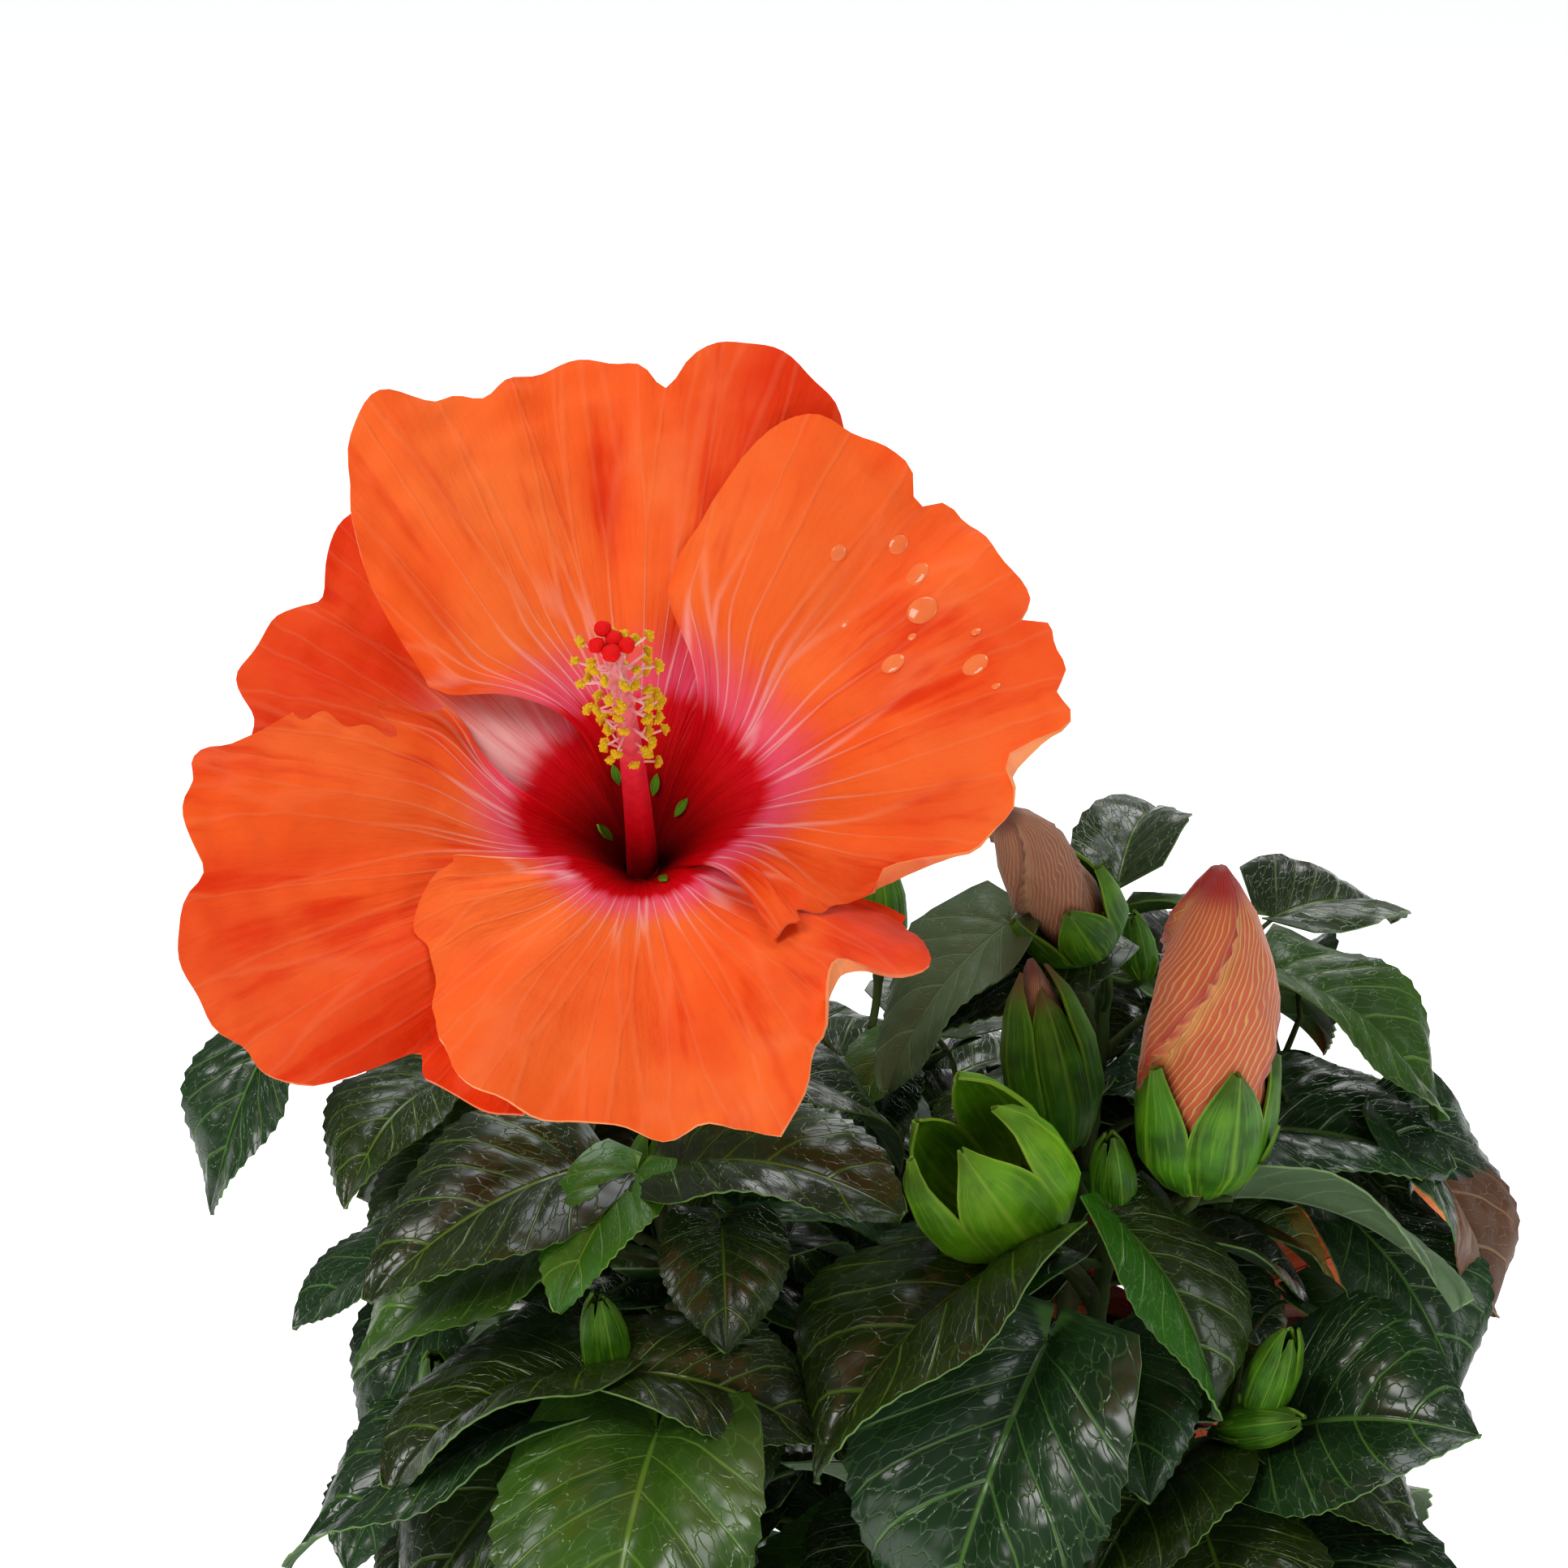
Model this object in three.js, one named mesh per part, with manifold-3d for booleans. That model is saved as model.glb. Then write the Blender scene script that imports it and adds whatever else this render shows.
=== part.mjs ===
// Hibiscus shrub: a compact rooted bush. One short woody stem forks into seven boughs, each bough
// carries one mass of leaves and flower buds, and two wide blossoms stand on stalks of their own.
// Millimetres, +Z up. The origin is the middle of the flat cut at ground level under the stem.

import * as THREE from 'three';
import { mergeVertices } from 'three/addons/utils/BufferGeometryUtils.js';
import Module from 'manifold-3d';

const wasm = await Module();
wasm.setup();

// ---------------------------------------------------------------- driving dimensions

const GAP = 0.3; // between limbs that meet
const BERTH = 0.8; // extra thickness that keeps leaves of two masses apart

const STEM = {
  height: 42,
  lean: [4, 3],
  footRadius: 6.8,
  forkRadius: 5.2,
  flareRadius: 11,
  flareHeight: 10,
  buttresses: 5,
  buttressDepth: 1.1,
  levels: [0, 0.07, 0.16, 0.3, 0.6, 1],
  sides: 15,
};
const BOUGH = { footRadius: 3.5, tipRadius: 2.6, sides: 7, steps: 6 };
const SHOOT = { footRadius: 2.5, tipRadius: 1.4, sideFootRadius: 1.9, sides: 5, steps: 5 };
const PETIOLE = { radius: 0.85, root: 1, collar: 0.1 };
const LEAF = {
  thickness: 1.3,
  fold: 24,
  rings: 3,
  lengthAtFoot: 68,
  lengthAtTip: 48,
  widthRatio: 0.78,
  petioleAtFoot: 40,
  petioleAtTip: 13,
  riseAtFoot: 0,
  riseAtTip: 42,
  pitchAtFoot: -46,
  pitchAtTip: -18,
  arch: 52,
};
// How far a grown leaf strays from the rule: shares of its sizes, and degrees to either side.
const STRAY = {
  length: [0.88, 1.06],
  rise: 8,
  petiole: [0.8, 1.1],
  bladeTurn: 24,
  pitch: 10,
  width: [0.92, 1.06],
  arch: [0.8, 1.25],
  roll: 14,
};
const GOLDEN_TURN = 137.5;
const FIRST_LEVEL = 0.04; // of the leaves along a shoot
const LEVEL_SPAN = 0.9;
const OVERHANG = 14; // how far a leaf may reach past the middle between two masses
const CROWN = { left: -100, right: 108 }; // where the grown blades end to either side

// A leaf that has no room is turned, and shortened with its petiole, by these; then it is left out.
const TRIES = [
  [0, 1], [26, 1], [-26, 1], [0, 0.72], [44, 0.76], [-44, 0.76], [0, 0.55], [75, 0.6], [-75, 0.6],
];

// Boughs run from the fork to the point where they enter their mass: foot, bend and tip.
const BOUGHS = {
  front_left: [[0.5, -1.5, 37], [-8, -8, 58], [-16, -12, 84]],
  front_right: [[5, -1, 38], [18, -5, 56], [27, -10, 84]],
  right: [[7, 0.5, 31], [24, 0, 46], [38, -5, 72]],
  back_right: [[6, 5, 36], [22, 14, 58], [31, 21, 86]],
  back: [[3.5, 6, 38], [4, 22, 56], [2, 33, 82]],
  back_left: [[1, 5, 35], [-14, 13, 56], [-22, 18, 84]],
  left: [[-0.5, 1, 31], [-20, 2, 46], [-34, -1, 70]],
};

// Each mass has a main shoot that grows on from its bough, and side shoots off that one. A row
// gives the level that it starts from, its bend and tip, its count of leaves and its first turn.
const SHOOTS = {
  front_left: [
    { level: 0, bend: [-30, -18, 155], tip: [-35, -15, 209], leaves: 19, turn: 150 },
    { level: 0.5, bend: [-42, -30, 160], tip: [-47, -38, 178], leaves: 7, turn: 200 },
  ],
  front_right: [
    { level: 0, bend: [40, -16, 145], tip: [44, -14, 196], leaves: 19, turn: 20 },
    { level: 0.34, bend: [18, -30, 140], tip: [6, -36, 158], leaves: 8, turn: 250 },
  ],
  right: [{ level: 0, bend: [62, -16, 115], tip: [66, -25, 160], leaves: 19, turn: 330 }],
  back_right: [
    { level: 0, bend: [42, 34, 155], tip: [46, 35, 224], leaves: 20, turn: 60 },
    { level: 0.56, bend: [66, 30, 180], tip: [82, 22, 208], leaves: 10, turn: 10 },
  ],
  back: [
    { level: 0, bend: [4, 52, 145], tip: [2, 50, 206], leaves: 20, turn: 90 },
    { level: 0.4, bend: [12, 66, 150], tip: [14, 78, 176], leaves: 10, turn: 80 },
  ],
  back_left: [
    { level: 0, bend: [-38, 36, 145], tip: [-42, 38, 215], leaves: 20, turn: 130 },
    { level: 0.55, bend: [-62, 34, 190], tip: [-78, 25, 212], leaves: 10, turn: 170 },
  ],
  left: [{ level: 0, bend: [-66, -2, 100], tip: [-76, -8, 152], leaves: 20, turn: 190 }],
};
const SEEDS = {
  front_left: 11,
  front_right: 23,
  right: 37,
  back_right: 41,
  back: 53,
  back_left: 67,
  left: 79,
};

// Places in a leaf's row of the values that change when it is turned or shortened.
const ROW = { turn: 2, petiole: 4, bladeTurn: 5, length: 7, width: 8 };

// The large leaves that lead each mass, by hand: shoot, level on it, petiole (turn, rise,
// length), then the blade: turn, pitch, length, width, arch and roll, in degrees and mm.
const LEADING_LEAVES = {
  front_left: [
    [0, 0.93, -158, 33, 21, -153, -22, 47, 36, 50, -12],
    [0, 0.97, -90, 41, 12, -28, 2, 48, 33, 60, 12],
    [0, 0.99, -115, 27, 16, -120, -30, 32, 20, 40, 0],
    [0, 0.88, -62, 31, 19, -87, -40, 25, 23, 45, 0],
    [0, 0.8, 160, 2, 46, -169, -30, 36, 25, 40, 0],
    [1, 0.75, -117, 53, 16, -151, -17, 44, 43, 60, 14],
    [1, 0.65, -92, 50, 25, -12, -17, 40, 30, 55, 10],
    [1, 0.4, -89, 33, 34, -103, -42, 58, 48, 60, 0],
    [1, 0.5, -127, 33, 26, -164, -24, 58, 32, 45, 0],
  ],
  front_right: [
    [0, 0.97, -93, 44, 20, -46, -50, 42, 32, 55, -14],
    [0, 0.72, -107, 36, 42, -129, -58, 62, 50, 45, -12],
    [0, 0.86, -126, 40, 33, -142, -32, 58, 52, 50, 16],
    [0, 0.97, -10, 29, 25, -23, -17, 48, 32, 60, -30],
  ],
  right: [
    [0, 0.9, -25, 46, 15, -28, 14, 41, 48, 50, 26],
    [0, 0.8, -113, 54, 24, -129, -26, 36, 38, 50, 0],
    [0, 0.7, -52, 62, 20, -163, -21, 34, 22, 60, -30],
    [0, 0.55, -86, 50, 42, -80, -33, 40, 38, 50, 0],
  ],
  back_right: [
    [1, 0.7, -111, 33, 20, -11, -6, 45, 38, 50, 12],
    [1, 0.95, -172, 79, 26, -19, -37, 44, 32, 60, 0],
    [1, 0.9, -22, 7, 20, -26, -58, 46, 34, 50, 0],
    [1, 0.6, -45, 2, 32, -47, -44, 40, 34, 50, 0],
    [0, 0.9, -138, 53, 41, -149, -47, 40, 26, 50, 0],
    [0, 0.97, -105, 58, 19, -149, -17, 40, 23, 55, -20],
  ],
  back: [],
  back_left: [
    [1, 0.4, -126, -7, 35, -136, -52, 40, 24, 40, 0],
    [1, 0.9, -160, 30, 39, -133, -59, 42, 24, 40, 0],
  ],
  left: [],
};

// Flower buds: mass, shoot and level, stalk (turn, rise, length), then the bud: turn, pitch,
// length, radius of its sepal cup, radius of its rolled petals (0 for none).
const BUDS = [
  ['front_right', 0, 1, [-27, 38, 22], [-61, 88], 62, 10.5, 11],
  ['front_right', 0, 1, [128, 44, 18], [161, 79], 33, 8, 0],
  ['front_right', 0, 0.93, [-140, 36, 23], [-150, 55], 31, 12, 0],
  ['front_right', 0, 0.99, [-88, 48, 12], [-108, 76], 17, 3.6, 0],
  ['back_right', 0, 0.95, [-102, 51, 27], [-150, 56], 38, 8, 7],
  ['back_right', 0, 1, [-46, 21, 10], [180, 80], 12, 2.6, 0],
  ['right', 0, 1, [-68, 42, 14], [-40, 72], 20, 4, 0],
  ['right', 0, 0.98, [-98, 38, 14], [-26, 21], 15, 3.4, 0],
  ['front_left', 1, 1, [-80, 42, 8], [-125, 81], 16, 3.6, 0],
  ['front_left', 0, 0.94, [132, 10, 8], [-76, 68], 13, 3.4, 0],
  ['back_left', 0, 1, [150, 50, 16], [150, 76], 30, 7, 0],
  ['back', 0, 1, [80, 50, 14], [100, 74], 22, 5, 0],
  ['left', 0, 1, [262, 45, 10], [250, 70], 15, 3.6, 0],
].map(([mass, shoot, level, stalk, aim, length, cup, roll]) => {
  return { mass, shoot, level, stalk, aim, length, cup, roll };
});
const BUD_STALK = { radius: 1.1, bend: 0.45, hold: 1.5 };
// Radius and height pairs, as shares of a cup's or a roll of petals' own.
const CUP_PROFILE = [[0, 0], [0.62, 0.06], [1, 0.32], [0.86, 0.62], [0, 1]];
const ROLL_PROFILE = [[0, 0.1], [0.9, 0.3], [1, 0.5], [0.72, 0.78], [0, 1]];
const CALYX_PROFILE = [[0, 0], [0.75, 0.1], [1, 0.55], [0.8, 1], [0, 1]];

// Petals: centre and half spread round the blossom's axis, opening of its cone, reach of its
// rim from the axis at even steps across it, how far its two edges stand off its neighbours and
// how much of the spread each side keeps in the throat.
const PETALS = [
  {
    centre: 16,
    spread: 67,
    cone: 63,
    rim: [27, 31, 37, 53, 62, 70.5, 71.3, 71.6, 72.2, 71, 68.8, 61.5, 41],
    lift: [3.4, 2.6],
    waist: [0.78, 0.62],
    wave: 0.4,
  },
  {
    centre: 98,
    spread: 52,
    cone: 63,
    rim: [56, 64, 72, 77.5, 77.3, 76, 78, 74.8, 74.6, 76.8, 72.5, 58, 40],
    lift: [-2.6, 2.2],
    waist: [0.9, 0.45],
    wave: 2.1,
  },
  {
    centre: 160,
    spread: 48,
    cone: 71,
    rim: [60, 66, 70, 71.2, 67.6, 70.4, 71, 66.6, 65, 63, 60, 56, 50],
    lift: [-2.4, -2.6],
    waist: [0.9, 0.9],
    wave: 3.7,
  },
  {
    centre: 201,
    spread: 52,
    cone: 71,
    rim: [38, 56, 61.5, 70, 73.6, 73.4, 78, 79.8, 77.5, 72, 60.5, 60.5, 60],
    lift: [4.4, -2.4],
    waist: [0.5, 0.9],
    wave: 5.2,
  },
  {
    centre: 268,
    spread: 70,
    cone: 63,
    rim: [32, 41, 44, 52, 63, 63.5, 62.8, 63.6, 66.5, 57.5, 52, 57, 49],
    lift: [2.4, -2.8],
    waist: [0.8, 0.9],
    wave: 1.2,
  },
];
const PETAL = {
  thickness: 1.1,
  alongSteps: 4,
  acrossSteps: 12,
  clawRadius: 3,
  waistAt: 14,
  fullSpreadAt: 38,
  throatRadius: 16,
  throatDepth: 14,
  recurve: 5,
  ruffle: 3,
  ruffles: 6,
  ruffleStart: 0.8,
};
const COLUMN = { length: 66, footRadius: 2.9, tipRadius: 1.4, sway: -2.5, sides: 6, steps: 4 };
const ANTHERS = { count: 7, from: 32, to: 62, reach: 6, rise: 1.5, radius: 1.3 };
const STIGMA = { count: 5, at: 0.97, spread: 4.2, rise: 4, radius: 1.5 };
const FILAMENT_RADIUS = 0.45;
const CALYX = { back: 26, front: 6, radius: 7.5, stalkRadius: 1.7, stalkSunk: 3 };

const BLOOMS = {
  front: {
    throat: [-39, -45, 285],
    azimuth: -90,
    elevation: 50,
    turn: 0,
    scale: 1,
    stalk: { mass: 'front_left', shoot: 0, level: 1, bend: [-36, -13, 240] },
  },
  back: {
    throat: [62, 50, 142],
    azimuth: 68,
    elevation: 14,
    turn: 40,
    scale: 0.72,
    stalk: { mass: 'back_right', shoot: 0, level: 0.16, bend: [54, 18, 122] },
  },
};

// ---------------------------------------------------------------- small helpers

const rad = THREE.MathUtils.degToRad;
const lerp = THREE.MathUtils.lerp;
const vector = (xyz) => new THREE.Vector3(...xyz);
const along = (start, direction, distance) => start.clone().addScaledVector(direction, distance);

/** Unit vector at a turn about +Z and a pitch above the level, in degrees. */
function heading(turn, pitch) {
  const level = Math.cos(rad(pitch));
  const turned = rad(turn);
  return new THREE.Vector3(level * Math.cos(turned), level * Math.sin(turned), Math.sin(rad(pitch)));
}

/** Repeatable random numbers: the same seed grows the same shrub. */
class Dice {
  constructor(seed) {
    this.state = seed;
  }

  within(low, high) {
    this.state = (Math.imul(this.state, 1664525) + 1013904223) >>> 0;
    return low + ((high - low) * this.state) / 2 ** 32;
  }

  about(span) {
    return this.within(-span, span);
  }
}

/** Closed three.js geometry as a solid that can be joined and cut. */
function solidOf(geometry) {
  geometry.deleteAttribute('normal');
  geometry.deleteAttribute('uv');
  const merged = mergeVertices(geometry, 1e-4);
  const mesh = new wasm.Mesh({
    numProp: 3,
    vertProperties: new Float32Array(merged.attributes.position.array),
    triVerts: new Uint32Array(merged.index.array),
  });
  return new wasm.Manifold(mesh);
}

/** Moves every point of a geometry by a rule from its own x, y, z to a new place. */
function reshape(geometry, place) {
  const points = geometry.attributes.position;
  for (let i = 0; i < points.count; i += 1) {
    const moved = place(points.getX(i), points.getY(i), points.getZ(i));
    points.setXYZ(i, moved.x, moved.y, moved.z);
  }
  return geometry;
}

/** The largest body of a solid: sealed hollows are filled and loose scraps dropped. */
function oneBody(solid) {
  return solid.decompose().reduce((best, body) => (body.volume() > best.volume() ? body : best));
}

const join = (solids) => solids.reduce((whole, solid) => whole.add(solid));

/** Tapering rod along a curve, with flat ends, the far one carried on by a little beyond it. */
function rod(curve, footRadius, tipRadius, sides, steps, beyond = 0) {
  const chord = curve.getPoint(1).sub(curve.getPoint(0)).normalize();
  const reference = Math.abs(chord.x) < 0.75 ? new THREE.Vector3(1, 0, 0) : new THREE.Vector3(0, 1, 0);
  const straight = new THREE.CylinderGeometry(tipRadius, footRadius, 1, sides, steps);
  return solidOf(
    reshape(straight, (x, y, z) => {
      const t = THREE.MathUtils.clamp(y + 0.5, 0, 1);
      const tangent = curve.getTangent(t);
      const side = along(reference, tangent, -reference.dot(tangent)).normalize();
      const across = side.clone().cross(tangent);
      const middle = along(curve.getPoint(t), tangent, t === 1 ? beyond : 0);
      return along(along(middle, side, x), across, z);
    }),
  );
}

/** Curve of a limb from its foot, the bend that it leans to and its tip, all vectors. */
const limb = (foot, bend, tip) => new THREE.QuadraticBezierCurve3(foot, bend, tip);

// ---------------------------------------------------------------- stem and boughs

/** Short woody stem with a root flare, cut flat at the ground and at its fork. */
function stemSolid(spare) {
  const { lean, footRadius, forkRadius, flareRadius, flareHeight, buttresses, buttressDepth, sides } = STEM;
  const height = STEM.height + spare;
  const rings = STEM.levels.map((level) => {
    const flare = (flareRadius - footRadius) * Math.exp((-3 * level * height) / flareHeight);
    return new THREE.Vector2(lerp(footRadius, forkRadius, level) + flare + spare, level * height);
  });
  const profile = [new THREE.Vector2(0, 0), ...rings, new THREE.Vector2(0, height)];
  const lathe = new THREE.LatheGeometry(profile, sides);
  return solidOf(
    reshape(lathe, (x, y, z) => {
      const radius = Math.hypot(x, z);
      const turn = Math.atan2(z, x);
      const swell = buttressDepth * Math.cos(buttresses * turn) * Math.exp(-y / flareHeight);
      const scale = radius > 0 ? (radius + swell) / radius : 0;
      const shift = (y / height) ** 1.4;
      return new THREE.Vector3(x * scale + lean[0] * shift, -z * scale + lean[1] * shift, y);
    }),
  );
}

const boughCurve = (name) => limb(...BOUGHS[name].map(vector));

function boughRod(name, spare) {
  const { footRadius, tipRadius, sides, steps } = BOUGH;
  return rod(boughCurve(name), footRadius + spare, tipRadius + spare, sides, steps, spare);
}

/** Boughs, each cut clear of the stem and of the boughs before it. */
function boughSolids() {
  const cleared = {};
  let taken = stemSolid(GAP);
  for (const name of Object.keys(BOUGHS)) {
    cleared[name] = oneBody(boughRod(name, 0).subtract(taken));
    taken = taken.add(boughRod(name, GAP));
  }
  return cleared;
}

// ---------------------------------------------------------------- shoots, leaves and buds

/** Curves of a mass's shoots; the first grows on from its bough's tip. */
function shootCurves(name) {
  const curves = [];
  for (const shoot of SHOOTS[name]) {
    const foot = curves.length === 0 ? boughCurve(name).getPoint(1) : curves[0].getPoint(shoot.level);
    curves.push(limb(foot, vector(shoot.bend), vector(shoot.tip)));
  }
  return curves;
}

/** A leaf's petiole, and the frame of its blade. */
function poseLeaf(curves, values) {
  const [shoot, level, turn, rise, petiole, bladeTurn, pitch, length, width, arch, roll] = values;
  const foot = curves[shoot].getPoint(level);
  const base = along(foot, heading(turn, rise), petiole);
  const forward = heading(bladeTurn, pitch);
  const flatSide = heading(bladeTurn + 90, 0);
  const flatUp = forward.clone().cross(flatSide);
  const side = flatSide.multiplyScalar(Math.cos(rad(roll))).addScaledVector(flatUp, Math.sin(rad(roll)));
  const up = forward.clone().cross(side);
  const root = along(foot, heading(turn, rise), PETIOLE.root);
  return { root, base, forward, side, up, petiole, length, width, arch: rad(arch) };
}

/** Half width of the ovate blade, as a share of the widest, at u from base to tip. */
function ovate(u) {
  return u <= 0 || u >= 1 ? 0 : Math.sin(Math.PI * u ** 0.62) ** (0.75 + 0.55 * u);
}

/** Point of a blade that arches along its length and folds up along its midrib. */
function bladePoint(leaf, u, v, lift) {
  const bend = leaf.arch * (0.5 - u);
  const radius = leaf.length / leaf.arch;
  const reach = radius * (Math.sin(leaf.arch / 2) - Math.sin(bend));
  const height = radius * (Math.cos(bend) - Math.cos(leaf.arch / 2));
  const half = (leaf.width / 2) * ovate(u) * Math.abs(v);
  const fold = rad(LEAF.fold);
  const normal = along(leaf.up.clone().multiplyScalar(Math.cos(bend)), leaf.forward, -Math.sin(bend));
  const point = along(along(leaf.base, leaf.forward, reach), leaf.up, height);
  point.addScaledVector(leaf.side, Math.sign(v) * half * Math.cos(fold));
  return point.addScaledVector(normal, half * Math.sin(fold) + lift);
}

/** Lens of rings with four long edges: one down each margin, one above and one below the midrib. */
function lensSolid(rings, place) {
  const ball = new THREE.SphereGeometry(1, 4, rings);
  return solidOf(
    reshape(ball, (x, y, z) => {
      const ring = Math.round((Math.acos(THREE.MathUtils.clamp(y, -1, 1)) / Math.PI) * rings);
      const width = Math.sin((ring * Math.PI) / rings);
      const pole = ring === 0 || ring === rings;
      return place(ring, pole ? 0 : Math.round(x / width), pole ? 0 : Math.round(z / width));
    }),
  );
}

/** Blade alone, thicker all round by spare. */
function bladeSolid(leaf, spare) {
  const half = LEAF.thickness / 2 + spare;
  return lensSolid(LEAF.rings, (ring, v, side) => bladePoint(leaf, ring / LEAF.rings, v, side * half));
}

/** Petiole and blade in one: the first rings go round the petiole, which turns into the blade. */
function leafSolid(leaf, spare) {
  const half = LEAF.thickness / 2 + spare;
  const radius = PETIOLE.radius + spare;
  const line = leaf.base.clone().sub(leaf.root).normalize();
  const upright = new THREE.Quaternion().setFromUnitVectors(leaf.forward, line);
  const halfway = upright.clone().slerp(new THREE.Quaternion(), 0.5);
  const stations = [
    { at: 0, stand: upright },
    { at: PETIOLE.collar, stand: upright },
    { at: 1, stand: halfway },
  ];
  const stalkRings = stations.length - 1;
  return lensSolid(LEAF.rings + stalkRings, (ring, v, side) => {
    if (ring > stalkRings) {
      return bladePoint(leaf, (ring - stalkRings) / LEAF.rings, v, side * half);
    }
    const { at, stand } = stations[ring];
    const offset = along(leaf.side.clone().multiplyScalar(v * radius), leaf.up, side * radius);
    return leaf.root.clone().lerp(leaf.base, at).add(offset.applyQuaternion(stand));
  });
}

/** Values of a leaf that the growth rule gives at one level of a shoot. */
function grownLeaf(shoot, level, turn, dice) {
  const length = lerp(LEAF.lengthAtFoot, LEAF.lengthAtTip, level) * dice.within(...STRAY.length);
  return [
    shoot,
    level,
    turn,
    lerp(LEAF.riseAtFoot, LEAF.riseAtTip, level) + dice.about(STRAY.rise),
    lerp(LEAF.petioleAtFoot, LEAF.petioleAtTip, level) * dice.within(...STRAY.petiole),
    turn + dice.about(STRAY.bladeTurn),
    lerp(LEAF.pitchAtFoot, LEAF.pitchAtTip, level) + dice.about(STRAY.pitch),
    length,
    length * LEAF.widthRatio * dice.within(...STRAY.width),
    LEAF.arch * dice.within(...STRAY.arch),
    dice.about(STRAY.roll),
  ];
}

const BLADE_SAMPLES = [[0, 0], [0.3, -1], [0.3, 1], [0.6, -1], [0.6, 1], [0.5, 0], [1, 0]];

/** Whether a blade is inside the crown and nearer to its own mass's shoots than to any other's. */
function keepsToSpace(leaf, name, knots) {
  return BLADE_SAMPLES.every(([u, v]) => {
    const point = bladePoint(leaf, u, v, 0);
    if (point.x < CROWN.left || point.x > CROWN.right) {
      return false;
    }
    const reach = (mass) => Math.min(...knots[mass].map((knot) => knot.distanceTo(point)));
    const own = reach(name);
    return Object.keys(knots).every((other) => own < reach(other) + OVERHANG);
  });
}

/** Bud or open sepal cup on its stalk, grown along its own axis. */
function budSolid(curves, bud) {
  const foot = curves[bud.shoot].getPoint(bud.level);
  const base = along(foot, heading(bud.stalk[0], bud.stalk[1]), bud.stalk[2]);
  const aim = heading(bud.aim[0], bud.aim[1]);
  const bend = along(base, aim, -bud.stalk[2] * BUD_STALK.bend);
  const line = limb(foot, bend, along(base, aim, BUD_STALK.hold));
  const stalk = rod(line, BUD_STALK.radius, BUD_STALK.radius, 4, 3);
  const cupLength = bud.roll > 0 ? bud.length / 2 : bud.length;
  const parts = [stalk, turned(CUP_PROFILE, bud.cup, cupLength, 6, base, aim)];
  if (bud.roll > 0) {
    parts.push(turned(ROLL_PROFILE, bud.roll, bud.length, 7, base, aim));
  }
  return join(parts);
}

/** Lathed solid of a profile at its own radius and length, stood at a point along an axis. */
function turned(profile, radius, length, sides, at, axis) {
  const points = profile.map(([r, z]) => new THREE.Vector2(r * radius, z * length));
  const lathe = new THREE.LatheGeometry(points, sides);
  const stand = new THREE.Quaternion().setFromUnitVectors(new THREE.Vector3(0, 1, 0), axis);
  return solidOf(reshape(lathe, (x, y, z) => new THREE.Vector3(x, y, z).applyQuaternion(stand).add(at)));
}

// ---------------------------------------------------------------- blossoms

/** Rim reach across a petal, from its even steps. */
function rimAt(petal, t) {
  const step = ((t + 1) / 2) * (petal.rim.length - 1);
  const left = Math.min(Math.floor(step), petal.rim.length - 2);
  return lerp(petal.rim[left], petal.rim[left + 1], step - left);
}

/** Point of a petal in its blossom's frame: s from claw to rim, t across, z along the axis. */
function petalPoint(petal, s, t, lift) {
  const rim = rimAt(petal, t);
  const reach = lerp(PETAL.clawRadius, rim, s);
  const side = t < 0 ? 0 : 1;
  const opened = THREE.MathUtils.smoothstep(reach, PETAL.waistAt, PETAL.fullSpreadAt);
  const turn = rad(petal.centre + t * petal.spread * lerp(petal.waist[side], 1, opened));
  const sunk = Math.max(0, 1 - reach / PETAL.throatRadius) ** 2 * PETAL.throatDepth;
  const edge = petal.lift[side] * t * t * Math.min(1, 2 * s);
  const ruffle = PETAL.ruffle * s ** 3 * Math.sin(PETAL.ruffles * turn + PETAL.ruffleStart);
  const slope = reach / Math.tan(rad(petal.cone)) - PETAL.recurve * s ** 4;
  const height = slope - sunk + edge + ruffle + lift;
  return new THREE.Vector3(reach * Math.cos(turn), reach * Math.sin(turn), height);
}

/** Frame of a blossom: right, up and out along its axis, scaled to its size. */
function bloomFrame(bloom) {
  const out = heading(bloom.azimuth, bloom.elevation);
  const right = heading(bloom.azimuth + 90, 0);
  const up = out.clone().cross(right);
  const turn = new THREE.Matrix4().makeRotationZ(rad(bloom.turn));
  const stand = new THREE.Matrix4().makeBasis(right, up, out).setPosition(vector(bloom.throat));
  return stand.multiply(turn).scale(new THREE.Vector3(bloom.scale, bloom.scale, bloom.scale));
}

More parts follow.
